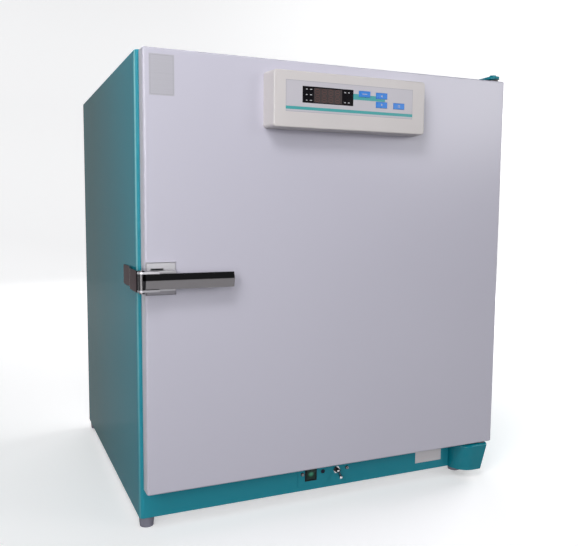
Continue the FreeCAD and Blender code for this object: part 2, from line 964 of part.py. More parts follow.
def fan():
    """The wheel and its shaft, which turn together."""
    wheel_back = chamber_depth - size.wheel_gap
    wheel_front = wheel_back - size.wheel_width
    zero = size.wheel_radius * 0
    wheel = Piece("fan_wheel")
    wheel.rod((zero, size.wheel_width - size.wheel_sheet, zero), "y", size.wheel_sheet, size.wheel_radius)
    wheel.rod((zero, zero, zero), "y", size.wheel_width, size.wheel_hub_radius)
    blade = wheel.box(
        (-size.wheel_sheet / 2, zero, size.blade_root),
        (size.wheel_sheet / 2, size.wheel_width, size.wheel_radius - size.wheel_sheet),
    )
    ring = wheel.feature("PolarPattern", "ring")
    ring.Originals = [blade]
    line = [one for one in wheel.body.Origin.OriginFeatures if one.Role == "Y_Axis"][0]
    ring.Axis = (line, [""])
    ring.Angle = 360
    ring.Occurrences = COUNTS["blades"]
    wheel.body.Tip = ring
    wheel.rod((zero, -size.overrun, zero), "y", size.wheel_width + size.overrun * 2, size.shaft_radius, take=True)
    place(wheel.body, spot(fan_x, wheel_front, fan_z))
    shaft = Piece("fan_shaft")
    shaft_start = wheel_front - size.wheel_sheet
    shaft.rod(spot(fan_x, shaft_start, fan_z), "y", motor_back - shaft_start - size.wheel_sheet, size.shaft_radius)


def heater():
    """A tubular element round the wheel, whose two legs leave through the back wall."""
    middle_y = chamber_depth - size.wheel_gap - size.wheel_width / 2
    swing = size.heater_open_angle / 2
    zero = size.wheel_radius * 0
    ring = Piece("heater_ring")
    tube = ring.outline("yz", zero, [
        (size.heater_tube * across, size.heater_radius + size.heater_tube * up)
        for across, up in ((1, 0), (0.5, 0.87), (-0.5, 0.87), (-1, 0), (-0.5, -0.87), (0.5, -0.87))
    ])
    turned_ring = ring.feature("Revolution", "turned")
    turned_ring.Profile = tube
    line = [one for one in ring.body.Origin.OriginFeatures if one.Role == "Y_Axis"][0]
    turned_ring.ReferenceAxis = (line, [""])
    turned_ring.Midplane = True
    bind(turned_ring, "Angle", 360 - size.heater_open_angle)
    place(ring.body, spot(fan_x, middle_y, fan_z))
    pieces = [ring]
    leg_z = fan_z - size.heater_radius * turned("cos", swing)
    for index, side in enumerate((-1, 1)):
        x = fan_x + side * size.heater_radius * turned("sin", swing)
        start_y = middle_y - size.heater_leg_radius
        length = wall_back + size.heater_tail - start_y
        pieces.append(rod(f"heater_leg_{index}", spot(x, start_y, leg_z), "y", length, size.heater_leg_radius))
    fused("heater", pieces)


def motor():
    """A shaded-pole motor on a strap that stands off the rear wall."""
    strap = Piece("motor_strap")
    half, reach = size.strap_width / 2, size.strap_length / 2
    x_list = [-reach, -(reach - size.strap_foot), reach - size.strap_foot, reach]
    far = wall_back + size.strap_rise
    strap.pad(
        "xy",
        floor + fan_z - half,
        size.strap_width,
        [
            (left + fan_x + x_list[0], front + wall_back),
            (left + fan_x + x_list[1], front + wall_back),
            (left + fan_x + x_list[1], front + far),
            (left + fan_x + x_list[2], front + far),
            (left + fan_x + x_list[2], front + wall_back),
            (left + fan_x + x_list[3], front + wall_back),
            (left + fan_x + x_list[3], front + wall_back + size.strap_sheet),
            (left + fan_x + x_list[2] + size.strap_sheet, front + wall_back + size.strap_sheet),
            (left + fan_x + x_list[2] + size.strap_sheet, front + far + size.strap_sheet),
            (left + fan_x + x_list[1] - size.strap_sheet, front + far + size.strap_sheet),
            (left + fan_x + x_list[1] - size.strap_sheet, front + wall_back + size.strap_sheet),
            (left + fan_x + x_list[0], front + wall_back + size.strap_sheet),
        ],
    )
    strap.rod(spot(fan_x, far - size.overrun, fan_z), "y", size.overrun * 2, size.motor_nose_radius, take=True)
    stack = Piece("fan_motor")
    side = size.motor_side / 2
    stack_front = strap_front + size.strap_sheet
    low = spot(fan_x - side, stack_front, fan_z - side)
    high = spot(fan_x + side, motor_back, fan_z + side)
    stack.box(low, high)
    stack.bend(size.motor_bend, lying("y", x=(low[0], high[0]), z=(low[2], high[2])))
    nose_start = stack_front - size.strap_sheet - size.motor_nose
    nose_length = size.strap_sheet + size.motor_nose
    stack.rod(spot(fan_x, nose_start, fan_z), "y", nose_length, size.motor_nose_radius)
    stack.rod(spot(fan_x, motor_back, fan_z), "y", size.motor_bell, size.motor_bell_radius)
    bore = size.shaft_radius + size.running_gap
    stack.rod(spot(fan_x, nose_start, fan_z), "y", motor_back - nose_start, bore, take=True)


def racks_and_shelves():
    """A ladder rack on each side wall, and three slotted shelves on their ledges."""
    rise = (COUNTS["rack_levels"] - 1) * rack_pitch
    first = chamber_low + rack_pitch
    back_y = baffle_front - size.rack_back
    for name, wall, inward in (("shelf_rack_left", chamber_left, 1), ("shelf_rack_right", chamber_right, -1)):
        rack = Piece(name)
        thick = size.rack_sheet * inward
        ledge = size.rack_ledge * inward
        near_x = wall if inward > 0 else wall + thick
        ledge_x = wall if inward > 0 else wall + ledge
        for post_y in (size.rack_front, back_y - size.rack_post):
            rack.box(
                spot(near_x, post_y, chamber_low + size.chamber_bend),
                spot(near_x + size.rack_sheet, post_y + size.rack_post, first + rise + size.rack_post),
            )
            if post_y is size.rack_front:
                step = rack.box(
                    spot(ledge_x, size.rack_front, first - size.rack_sheet),
                    spot(ledge_x + size.rack_ledge, back_y, first),
                )
                rack.repeat([step], "z", rise, COUNTS["rack_levels"])
    low_x = chamber_left + size.rack_sheet + size.shelf_gap
    high_x = chamber_right - size.rack_sheet - size.shelf_gap
    for name, level in (("shelf_lower", 0), ("shelf_middle", 2), ("shelf_upper", 4)):
        shelf = Piece(name)
        top = first + rack_pitch * level + size.shelf_sheet
        low = spot(low_x, size.rack_front - size.shelf_overhang, top - size.shelf_rim)
        high = spot(high_x, back_y + size.shelf_overhang, top)
        shelf.box(low, high)
        shelf.shell(size.shelf_sheet, ("z", low[2]), ("x", low[0]), ("x", high[0]))
        slots = COUNTS["shelf_slots"]
        start_x = fan_x - (slots - 1) * slot_pitch / 2 - size.slot_width / 2
        middle_y = (size.rack_front + back_y) / 2
        ends = ((size.rack_front + size.slot_end, middle_y - size.slot_end / 2),
                (middle_y + size.slot_end / 2, back_y - size.slot_end))
        for near_y, far_y in ends:
            slot = shelf.box(
                spot(start_x, near_y, top - size.overrun),
                spot(start_x + size.slot_width, far_y, top + size.overrun),
                take=True,
            )
            shelf.repeat([slot], "x", (slots - 1) * slot_pitch, slots)


def sensors_and_vent():
    """Temperature probe, safety bulb and air outlet, each through the back wall."""
    for name, x, z, radius, reach in (
        ("temperature_probe", probe_x, probe_z, size.probe_radius, size.baffle_depth + size.probe_reach),
        ("safety_bulb", bulb_x, bulb_z, size.bulb_radius, size.bulb_reach),
    ):
        probe = Piece(name)
        start = chamber_depth - reach
        probe.rod(spot(x, start, z), "y", wall_back + size.probe_nut - start, radius)
        probe.rod(spot(x, wall_back, z), "y", size.probe_nut, size.probe_nut_radius)
    vent = Piece("vent_pipe")
    end = size.case_depth + size.vent_reach
    vent.rod(spot(vent_x, chamber_back - size.chamber_sheet, vent_z), "y", end - chamber_depth, size.vent_radius)
    vent.rod(spot(vent_x, size.case_depth, vent_z), "y", size.vent_wall, size.vent_rose)
    bore = size.vent_radius - size.vent_wall
    start = spot(vent_x, chamber_depth - size.overrun, vent_z)
    vent.rod(start, "y", end + size.overrun * 2 - chamber_depth, bore, take=True)


def cable_gland():
    """The inlet for the mains lead, low on the rear panel."""
    gland = Piece("cable_gland")
    x, z = right_x - size.gland_inset, size.plinth_height / 2
    gland.rod(spot(x, case_back - size.gland_tail, z), "y", size.gland_tail + size.case_sheet, size.gland_dome_radius)
    nut = gland.feature("AdditivePrism", "nut")
    nut.Polygon = 6
    bind(nut, "Circumradius", size.gland_radius)
    bind(nut, "Height", size.gland_nut)
    place(nut, spot(x, size.case_depth, z), "y")
    dome = size.gland_reach - size.gland_nut
    start = spot(x, size.case_depth + size.gland_nut, z)
    gland.cone(start, "y", dome, size.gland_dome_radius, size.gland_dome_radius - size.gland_bore / 2)
    start = spot(x, case_back - size.gland_tail - size.overrun, z)
    gland.rod(start, "y", size.case_depth, size.gland_bore, take=True)


def door_form(name, inset):
    """The door's outer form, or the form of its hollow when inset is its sheet."""
    form = Piece(name)
    low = spot(size.door_side_gap + inset, door_front + inset, door_low + inset)
    high = spot(door_right - inset, door_back - inset, door_high - inset)
    form.box(low, high)
    form.bend(size.door_front_bend - inset, lying("z", y=low[1]))
    form.bend(size.door_back_bend - inset, lying("z", y=high[1]))
    form.bend(size.door_edge_bend - inset, lying(z=low[2]), lying(z=high[2]))
    return form


def door_shell():
    """The outer pan of the door; its upright back edges are rounded so that it clears the case."""
    opening = block(
        "door_opening",
        spot(size.door_side_gap + size.door_back_bend, door_back - size.overrun, door_low + size.door_edge_bend),
        spot(door_right - size.door_back_bend, size.overrun, door_high - size.door_edge_bend),
    )
    tools = [door_form("door_hollow", size.door_sheet), opening]
    for index, start in enumerate((door_low - size.overrun, door_high - size.overrun)):
        length = size.overrun * 2
        tools.append(rod(f"door_bush_{index}", spot(pivot_x, pivot_y, start), "z", length, size.bush_radius))
    cut("door_shell", door_form("door_outer", 0), tools)


def door_inside():
    """Wool, the stainless inner panel with its plug, and the seal round the plug."""
    inset = size.door_back_bend
    wool_left, wool_right = size.door_side_gap + inset, pivot_x - size.bush_radius * 2
    wool = Piece("door_insulation")
    wool.box(
        spot(wool_left, door_front + size.door_sheet, door_low + inset),
        spot(wool_right, door_back - size.liner_sheet, door_high - inset),
    )
    liner = Piece("door_liner")
    low = spot(size.door_side_gap + inset, door_back - size.liner_sheet, door_low + size.door_edge_bend)
    high = spot(door_right - inset, door_back, door_high - size.door_edge_bend)
    liner.box(low, high)
    gap = size.plug_gap
    plug_low = spot(chamber_left + gap, door_back - size.liner_sheet, chamber_low + gap)
    plug_high = spot(chamber_right - gap, door_back + size.plug_depth, chamber_high - gap)
    liner.box(plug_low, plug_high)
    liner.bend(size.plug_bend, lying("y", x=(plug_low[0], plug_high[0]), z=(plug_low[2], plug_high[2])))
    liner.bend(size.plug_bend / 2, lying(y=plug_high[1]))
    sheet = size.liner_sheet
    liner.box(
        (plug_low[0] + sheet, low[1] - size.overrun, plug_low[2] + sheet),
        (plug_high[0] - sheet, plug_high[1] - sheet, plug_high[2] - sheet),
        take=True,
    )
    places = liner_screw_places()
    for x, z in places:
        liner.rod(spot(x, door_back - size.overrun, z), "y", size.overrun * 2, size.screw_hole_radius, take=True)
        wool.rod(spot(x, door_back - size.overrun, z), "y", size.overrun, size.screw_hole_radius, take=True)
    together("door_liner_screws", [screw(f"liner_screw_{i}", x, door_back, z) for i, (x, z) in enumerate(places)])
    seal_back = size.case_sheet - size.seal_gap
    seal = Piece("door_gasket")
    out = size.chamber_lip + size.gasket_offset + size.gasket_width
    low = spot(chamber_left - out, door_back, chamber_low - out)
    high = spot(chamber_right + out, seal_back, chamber_high + out)
    seal.box(low, high)
    seal.bend(size.gasket_bend, lying("y", x=(low[0], high[0]), z=(low[2], high[2])))
    inner_low = (low[0] + size.gasket_width, low[1] - size.overrun, low[2] + size.gasket_width)
    inner_high = (high[0] - size.gasket_width, high[1] + size.overrun, high[2] - size.gasket_width)
    seal.box(inner_low, inner_high, take=True)
    seal.bend(
        size.gasket_bend - size.gasket_width,
        lying("y", x=(inner_low[0], inner_high[0]), z=(inner_low[2], inner_high[2])),
    )
    seal.bend(size.gasket_round, lying(y=high[1]))


def liner_screw_places():
    inset = size.door_back_bend + size.screw_inset
    low = (size.door_side_gap + inset, door_low + inset)
    high = (pivot_x - inset, door_high - inset)
    return spread(LINER_SCREW_SHARES, low, high)


def hinges():
    """A flat bracket and bolt over the door, and a folded block with a pin under it."""
    bushes = []
    bore = size.pin_radius + size.running_gap
    for name, seat, up in (("lower_bush", door_low, -1), ("upper_bush", door_high, 1)):
        bush = Piece(name)
        start = seat - size.bush_flange if up < 0 else seat - size.bush_length
        bush.rod(spot(pivot_x, pivot_y, start), "z", size.bush_length + size.bush_flange, size.bush_radius)
        flange = seat - size.bush_flange if up < 0 else seat
        bush.rod(spot(pivot_x, pivot_y, flange), "z", size.bush_flange, size.bush_flange_radius)
        start = spot(pivot_x, pivot_y, seat - size.bush_length - size.overrun)
        bush.rod(start, "z", (size.bush_length + size.overrun) * 2, bore, take=True)
        bushes.append(bush)
    together("hinge_bushes", bushes)

    plate = Piece("top_hinge_bracket")
    low = spot(pivot_x - size.bracket_nose, pivot_y, size.case_height)
    high = spot(pivot_x + size.bracket_nose, size.bracket_back, size.case_height + size.bracket_sheet)
    plate.box(low, high)
    plate.bend(size.bolt_head, lying("z", y=high[1]))
    plate.rod(spot(pivot_x, pivot_y, size.case_height), "z", size.bracket_sheet, size.bracket_nose)
    start = spot(pivot_x, pivot_y, size.case_height - size.overrun)
    plate.rod(start, "z", size.overrun * 2, size.pin_radius, take=True)

    bolt = Piece("hinge_bolt")
    head_low = size.case_height + size.bracket_sheet
    bolt_low = door_high - size.pin_reach
    bolt.rod(spot(pivot_x, pivot_y, bolt_low), "z", head_low - bolt_low, size.pin_radius)
    head = bolt.feature("AdditivePrism", "head")
    head.Polygon = 6
    bind(head, "Circumradius", size.bolt_head_radius)
    bind(head, "Height", size.bolt_head)
    place(head, spot(pivot_x, pivot_y, head_low))

    hinge_block()
    pin = Piece("hinge_pin")
    pin_low = size.plinth_height - size.block_drop - size.block_sheet * 2
    pin.rod(spot(pivot_x, pivot_y, pin_low), "z", door_low + size.pin_reach - pin_low, size.pin_radius)
    pin.bevel(size.pin_radius / 4, lying(z=floor + door_low + size.pin_reach))


def hinge_block():
    """The lower block: curved on its left, slanted on its right, open below and behind."""
    body = Piece("lower_hinge_block")
    low_x, high_x = left + pivot_x - size.block_left, left + pivot_x + size.block_right
    near_y, far_y = front - size.block_depth, front
    top = size.plinth_height - size.block_drop
    curve = size.block_curve
    body.pad(
        "xy",
        floor,
        top,
        [
            (low_x, far_y),
            (low_x, near_y + curve),
            (low_x + curve, near_y, curve),
            (high_x, near_y),
            (high_x, far_y),
        ],
    )
    slant = size.block_slant
    body.pad(
        "xz",
        near_y - size.overrun,
        size.block_depth + size.overrun * 2,
        [
            (high_x, floor + top),
            (high_x - slant, floor),
            (high_x - slant, floor - size.overrun),
            (high_x + size.overrun, floor - size.overrun),
            (high_x + size.overrun, floor + top),
        ],
        take=True,
    )
    body.bend(size.block_round, lying("x", y=near_y, z=floor + top))
    body.shell(size.block_sheet, ("z", floor), ("y", far_y))
    start = spot(pivot_x, pivot_y, top - size.overrun)
    body.rod(start, "z", size.overrun * 2, size.pin_radius, take=True)


def key_places():
    """The keys' names and the lower left corner of each."""
    insets = (
        ("mode_key", size.mode_key_inset, size.mode_key_rise),
        ("up_key", size.step_key_inset, size.up_key_rise),
        ("down_key", size.step_key_inset, size.down_key_rise),
        ("start_key", size.start_key_inset, size.start_key_rise),
    )
    return [(name, size.housing_left + inset, housing_low + rise) for name, inset, rise in insets]


def drafted(name, inset):
    """The control housing's outer form, or the form of its hollow when inset is its wall."""
    box = Piece(name)
    base_y, face_y = front + door_front, front + housing_front + inset
    low_x, low_z = left + size.housing_left + inset, floor + housing_low + inset
    high_x = left + size.housing_left + size.housing_width - inset
    lean = (base_y - face_y) * turned("tan", size.housing_draft)
    corners = [(low_x, base_y), (high_x, base_y), (high_x - lean, face_y), (low_x + lean, face_y)]
    box.pad("xy", low_z, size.housing_height - inset * 2, corners)
    deep = size.housing_depth.number - sized(inset).number - TOLERANCE
    box.bend(size.housing_bend - inset, lambda edge: edge.BoundBox.YLength > deep)
    return box


def control_housing():
    """The moulded box on the door: drafted, rounded and hollow, with bosses for the board."""
    outer = drafted("housing_outer", 0)
    face_y = front + housing_front
    outer.bend(size.housing_round, lying(y=face_y))
    hollow = cut("housing_hollow", outer, [drafted("housing_inner", size.housing_wall)])
    tools = []
    window_low = (left + window_left, face_y - size.overrun, floor + window_low_z)
    window_high = (
        window_low[0] + size.window_width,
        face_y + size.overrun,
        window_low[2] + size.window_height,
    )
    tools.append(block("housing_window", window_low, window_high))
    gap = size.key_gap
    for name, x, z in key_places():
        start = (left + x - gap, face_y - size.overrun, floor + z - gap)
        end = (left + x + size.key_width + gap, face_y + size.overrun, floor + z + size.key_height + gap)
        tools.append(block(f"housing_{name}", start, end))
    recess_low = (left + overlay_left, face_y - size.overrun, floor + overlay_low)
    recess_high = (
        recess_low[0] + size.overlay_width,
        face_y + size.overlay_thick,
        recess_low[2] + size.overlay_height,
    )
    tools.append(block("housing_recess", recess_low, recess_high))
    cut_box = cut("housing_cut", hollow, tools)
    pieces = [cut_box]
    inset = size.board_inset * 2
    for x in (size.housing_left + inset, size.housing_left + size.housing_width - inset):
        for z in (housing_low + inset, housing_low + size.housing_height - inset):
            start_y = housing_front + size.housing_wall / 2
            length = board_place() - start_y
            pieces.append(rod(f"housing_post_{len(pieces)}", spot(x, start_y, z), "y", length, size.head_radius))
    fused("control_housing", pieces)


def board_place():
    """Where the circuit board's front lies: behind the display and the keys."""
    return housing_front + size.overlay_thick + size.window_thick + size.display_depth


def control_inside():
    """Overlay, window, display and board, from the front to the back."""
    face = housing_front
    overlay = Piece("membrane_overlay")
    low = spot(overlay_left, face, overlay_low)
    high = spot(
        overlay_left + size.overlay_width,
        face + size.overlay_thick,
        overlay_low + size.overlay_height,
    )
    overlay.box(low, high)
    holes = [(window_left, window_low_z, size.window_width, size.window_height, 0)]
    holes += [(x, z, size.key_width, size.key_height, size.key_gap) for name, x, z in key_places()]
    for x, z, width, height, gap in holes:
        start = spot(x - gap, face - size.overrun, z - gap)
        end = spot(x + width + gap, face + size.overrun, z + height + gap)
        overlay.box(start, end, take=True)
    window = Piece("display_window")
    window_back = face + size.overlay_thick + size.window_thick
    window.box(
        spot(window_left, face, window_low_z),
        spot(window_left + size.window_width, window_back, window_low_z + size.window_height),
    )
    display = Piece("display_module")
    board_front = board_place()
    inset = size.display_inset
    display.box(
        spot(window_left + inset, window_back, window_low_z + inset / 2),
        spot(
            window_left + size.window_width - inset,
            board_front,
            window_low_z + size.window_height - inset / 2,
        ),
    )
    board = Piece("circuit_board")
    inset = size.board_inset
    board.box(
        spot(size.housing_left + inset, board_front, housing_low + inset),
        spot(
            size.housing_left + size.housing_width - inset,
            board_front + size.board_thick,
            housing_low + size.housing_height - inset,
        ),
    )
    for name, x, z in key_places():
        key = Piece(name)
        low = spot(x, face - size.key_rise, z)
        high = spot(x + size.key_width, face + size.key_depth, z + size.key_height)
        key.box(low, high)
        key.bend(size.key_rise, lying("y"))
        key.bend(size.key_gap, lying(y=low[1]))
        flange = size.key_flange
        key.box(
            (low[0] - flange, high[1] - flange, low[2] - flange),
            (high[0] + flange, high[1], high[2] + flange),
        )


def latch_base():
    """Bevelled plate on the door with a hollow boss and the two ears that hold the pivot."""
    base = Piece("latch_base")
    mid = size.latch_middle
    half = size.barrel_height / 2
    shift = size.boss_shift
    low = spot(size.base_left, door_front - size.base_thick, mid + shift - size.base_height / 2)
    high = spot(size.base_left + size.base_width, door_front, mid + shift + size.base_height / 2)
    base.box(low, high)
    base.bevel(size.base_bevel, lying(y=low[1]))
    boss_y = door_front - size.base_thick - size.boss_depth
    outer = half + size.ear_sheet
    base.box(
        spot(size.base_left, boss_y, mid - outer),
        spot(size.base_left + size.boss_width, door_front - size.base_thick / 2, mid + outer),
    )
    pivot_left, pivot_front = -size.latch_pivot_left, -size.latch_pivot_front
    for low_z in (mid - outer, mid + half):
        base.box(
            spot(pivot_left, pivot_front - size.ear_radius, low_z),
            spot(pivot_left + size.ear_reach, pivot_front + size.ear_back, low_z + size.ear_sheet),
        )
        base.rod(spot(pivot_left, pivot_front, low_z), "z", size.ear_sheet, size.ear_radius)
    base.box(
        spot(size.base_left - size.overrun, boss_y + size.boss_wall, mid - half),
        spot(
            size.base_left + size.boss_width - size.boss_wall,
            door_front - size.base_thick,
            mid + half,
        ),
        take=True,
    )
    base.box(
        spot(size.base_left - size.overrun, boss_y - size.overrun, mid - half),
        spot(size.base_left + size.boss_notch, boss_y + size.overrun / 2, mid + half),
        take=True,
    )
    start = spot(pivot_left, pivot_front, mid - outer - size.overrun)
    base.rod(start, "z", (outer + size.overrun) * 2, size.latch_pin_radius, take=True)

    pin = Piece("latch_pin")
    length = outer * 2 + size.latch_pin_head * 2
    bottom = mid - outer - size.latch_pin_head
    pin.rod(spot(pivot_left, pivot_front, bottom), "z", length, size.latch_pin_radius)
    for start in (bottom, mid + outer):
        pin.rod(spot(pivot_left, pivot_front, start), "z", size.latch_pin_head, size.latch_pin_head_radius)


def latch_lever():
    """Barrel, convex tapering arm and hook, all one casting."""
    lever = Piece("latch_lever")
    mid = size.latch_middle
    half = size.barrel_height / 2 - size.latch_side_gap
    pivot_left, pivot_front = -size.latch_pivot_left, -size.latch_pivot_front
    lever.rod(spot(pivot_left, pivot_front, mid - half), "z", half * 2, size.barrel_radius)
    near_y = front + pivot_front - size.lever_front
    back_y = front + pivot_front + size.lever_back
    edge_y = near_y + size.lever_ridge
    low_z, high_z = floor + mid - half, floor + mid + half
    ridge_z = low_z + (high_z - low_z) * RIDGE_SHARE
    outline = [(back_y, low_z), (back_y, high_z), (edge_y, high_z), (near_y, ridge_z), (edge_y, low_z)]
    end_x = left + pivot_left + size.lever_length
    lever.pad("yz", left + pivot_left, size.lever_length, outline)
    lever.bend(size.lever_ridge_bend, lying("x", y=near_y, z=ridge_z))
    lever.bend(size.lever_end_bend, lying(x=end_x))
    hook_y = pivot_front + size.hook_back
    low_hook, high_hook = mid - size.hook_height / 2, mid + size.hook_height / 2
    lever.box(spot(size.hook_left, pivot_front, low_hook), spot(size.hook_left + size.hook_shank, hook_y, high_hook))
    lever.box(
        spot(size.hook_left - size.hook_tip, hook_y - size.hook_thick, low_hook),
        spot(size.hook_left + size.hook_shank, hook_y, high_hook),
    )
    bore = size.latch_pin_radius + size.running_gap
    start = spot(pivot_left, pivot_front, mid - size.barrel_height)
    lever.rod(start, "z", size.barrel_height * 2, bore, take=True)


def keeper():
    """The chromed strap on the case's left side, bowed out so that the hook passes behind its lip."""
    strap = Piece("latch_keeper")
    thick = size.keeper_sheet
    bow, ahead = size.keeper_bow, size.keeper_front
    ramp_end = size.keeper_ramp
    lip = size.keeper_lip
    points = [
        (0, size.keeper_tail),
        (-thick, size.keeper_tail),
        (-thick, size.keeper_flat),
        (-bow, ramp_end),
        (-bow, -ahead),
        (lip - bow, -ahead),
        (lip - bow, thick - ahead),
        (thick - bow, thick - ahead),
        (thick - bow, ramp_end),
        (0, size.keeper_flat),
    ]
    start = floor + size.latch_middle - size.keeper_height / 2
    strap.pad("xy", start, size.keeper_height, [(left + x, front + y) for x, y in points])
    strap.bend(size.keeper_bend, lying("z", x=left - bow, y=front - ahead))
    strap.bend(size.keeper_bend * 2, lying("z", x=left - bow, y=front + ramp_end))
    strap.bend(thick / 2, lying("z", x=left - thick, y=front + size.keeper_tail))


def switch_cutouts():
    """The openings behind the control plate: x, z, width and height of each."""
    level = size.switch_level
    return (
        (size.plate_left + size.rocker_middle, level, size.rocker_body_width, size.rocker_body_height),
        (size.plate_left + size.reset_place, level, size.reset_ring_radius * 2, size.reset_ring_radius * 2),
        (size.plate_left + size.toggle_place, level, size.toggle_neck_radius * 2, size.toggle_neck_radius * 2),
    )


def plate_screw_places():
    low, high = size.plate_left + size.plate_screw_inset, size.plate_left + size.plate_width - size.plate_screw_inset
    return ((low, size.switch_level), (high, size.switch_level))


def control_plate():
    plate = Piece("control_plate")
    plate.box(
        spot(size.plate_left, plate_front, size.plate_low),
        spot(size.plate_left + size.plate_width, 0, size.plate_low + size.plate_height),
    )
    rocker, reset, toggle = switch_cutouts()
    x, z, width, height = rocker
    start = spot(x - width / 2, -size.overrun, z - height / 2)
    plate.box(start, spot(x + width / 2, size.overrun, z + height / 2), take=True)
    for x, z, width, height in (reset, toggle):
        plate.rod(spot(x, -size.overrun, z), "y", size.overrun * 2, width / 2, take=True)
    for x, z in plate_screw_places():
        plate.rod(spot(x, -size.overrun, z), "y", size.overrun * 2, size.screw_hole_radius, take=True)
    screws = [front_screw(f"plate_screw_{i}", x, plate_front, z) for i, (x, z) in enumerate(plate_screw_places())]
    together("control_plate_screws", screws)


def rocker_switch():
    """The switch's bezel and body, and the rocker that tips in them."""
    x, z, width, height = switch_cutouts()[0]
    body = Piece("rocker_housing")
    bezel_front = plate_front - size.rocker_bezel
    bezel_x, bezel_z = size.rocker_bezel_width / 2, size.rocker_bezel_height / 2
    body.box(spot(x - bezel_x, bezel_front, z - bezel_z), spot(x + bezel_x, plate_front, z + bezel_z))
    body.bevel(size.rocker_bezel / 2, lying(y=front + bezel_front))
    body.box(
        spot(x - width / 2, plate_front, z - height / 2),
        spot(x + width / 2, size.rocker_body, z + height / 2),
    )
    hole_x, hole_z = width / 2 - size.rocker_wall, height / 2 - size.rocker_wall
    body.box(
        spot(x - hole_x, bezel_front - size.overrun, z - hole_z),
        spot(x + hole_x, size.rocker_cavity, z + hole_z),
        take=True,
    )
    pivot = plate_front + size.rocker_pivot_back
    axle = size.rocker_axle
    reach = hole_x + size.rocker_wall / 2
    body.rod(spot(x - reach, pivot, z), "x", reach * 2, axle + size.running_gap, take=True)

    rocker = Piece("rocker")
    half = hole_x - size.rocker_side_gap
    points = [
        (size.rocker_root, -size.rocker_root_half),
        (size.rocker_root, size.rocker_root_half),
        (-size.rocker_root / 4, size.rocker_half_height),
        (-size.rocker_horn, size.rocker_half_height),
        (-size.rocker_dish, 0),
        (-size.rocker_horn, -size.rocker_half_height),
        (-size.rocker_root / 4, -size.rocker_half_height),
    ]
    rocker.pad("yz", -half, half * 2, points)
    rocker.rod((-(reach - size.rocker_side_gap), 0 * reach, 0 * reach), "x", (reach - size.rocker_side_gap) * 2, axle)
    rocker.body.Placement = FreeCAD.Placement(
        FreeCAD.Vector(), FreeCAD.Rotation(FreeCAD.Vector(1, 0, 0), size.rocker_swing.number)
    )
    bind(rocker.body, "Placement.Rotation.Angle", size.rocker_swing)
    for letter, value in zip("xyz", spot(x, pivot, z)):
        bind(rocker.body, f"Placement.Base.{letter}", value)


def reset_button():
    """The over-temperature cut-out behind the plate, and the button that resets it."""
    x, z, width, height = switch_cutouts()[1]
    body = Piece("thermostat_body")
    ring_front = plate_front - size.reset_ring
    start = size.case_sheet + size.thermostat_lead
    body.rod(spot(x, plate_front, z), "y", start - plate_front, size.reset_ring_radius)
    body.rod(spot(x, ring_front, z), "y", size.reset_ring, size.reset_ring_radius + size.reset_ring)
    half_x, half_z = size.thermostat_width / 2, size.thermostat_height / 2
    body.box(spot(x - half_x, start, z - half_z), spot(x + half_x, start + size.thermostat_back, z + half_z))
    bore = size.reset_radius + size.reset_gap
    length = size.reset_length + size.reset_travel + size.reset_gap * 2
    body.rod(spot(x, ring_front, z), "y", length, bore, take=True)
    button = Piece("reset_button")
    button.rod(spot(x, ring_front, z), "y", size.reset_length, size.reset_radius)
    button.bend(size.reset_radius / 4, lying(y=front + ring_front))


def toggle_switch():
    """Body, neck and nut of the toggle, and its bat lever on a ball."""
    x, z, width, height = switch_cutouts()[2]
    neck_front = plate_front - size.toggle_neck
    body = Piece("toggle_housing")
    half_x, half_z = size.toggle_body_width / 2, size.toggle_body_height / 2
    body.box(
        spot(x - half_x, size.case_sheet, z - half_z),
        spot(x + half_x, size.case_sheet + size.toggle_body, z + half_z),
    )
    body.rod(spot(x, neck_front, z), "y", size.case_sheet - neck_front, size.toggle_neck_radius)
    body.rod(spot(x, neck_front - size.overrun, z), "y", size.toggle_neck + size.overrun, size.toggle_bore, take=True)
    nut = Piece("toggle_nut")
    ring = nut.feature("AdditivePrism", "hexagon")
    ring.Polygon = 6
    bind(ring, "Circumradius", size.toggle_nut_radius)
    bind(ring, "Height", size.toggle_nut)
    place(ring, spot(x, plate_front - size.toggle_nut, z), "y")
    nut.rod(spot(x, -size.overrun, z), "y", size.overrun, size.toggle_neck_radius, take=True)
    lever = Piece("toggle_lever")
    zero = size.toggle_ball * 0
    lever.ball((zero, zero, zero), size.toggle_ball)
    lever.cone((zero, zero, zero), "z", size.toggle_lever_length, size.toggle_root_radius, size.toggle_tip_radius)
    lever.ball((zero, zero, size.toggle_lever_length), size.toggle_tip_radius)
    turn = FreeCAD.Rotation(FreeCAD.Vector(1, 0, 0), 90 + size.toggle_tilt.number)
    lever.body.Placement = FreeCAD.Placement(FreeCAD.Vector(), turn)
    bind(lever.body, "Placement.Rotation.Angle", 90 + size.toggle_tilt)
    for letter, value in zip("xyz", spot(x, neck_front + size.toggle_pivot_inset, z)):
        bind(lever.body, f"Placement.Base.{letter}", value)


def power_parts():
    """The finned power module and the terminal block on the base pan."""
    module = Piece("power_module")
    low_x = fan_x - size.power_width
    low_y = size.case_depth / 2
    module.box(
        spot(low_x, low_y, size.case_sheet),
        spot(low_x + size.power_width, low_y + size.power_depth, size.case_sheet + size.power_height),
    )
    groove_low = size.case_sheet + size.power_height - size.fin_height
    groove = module.box(
        spot(low_x + size.fin_sheet, low_y - size.overrun, groove_low),
        spot(
            low_x + size.fin_pitch,
            low_y + size.power_depth + size.overrun,
            groove_low + size.fin_height + size.overrun,
        ),
        take=True,
    )
    module.repeat([groove], "x", (COUNTS["fins"] - 1) * size.fin_pitch, COUNTS["fins"])
    terminals = Piece("terminal_block")
    x, y = right_x - size.gland_inset, case_back - size.terminal_inset
    half = size.terminal_width / 2
    terminals.box(
        spot(x - half, y, size.case_sheet),
        spot(x + half, y + size.terminal_depth, size.case_sheet + size.terminal_height),
    )


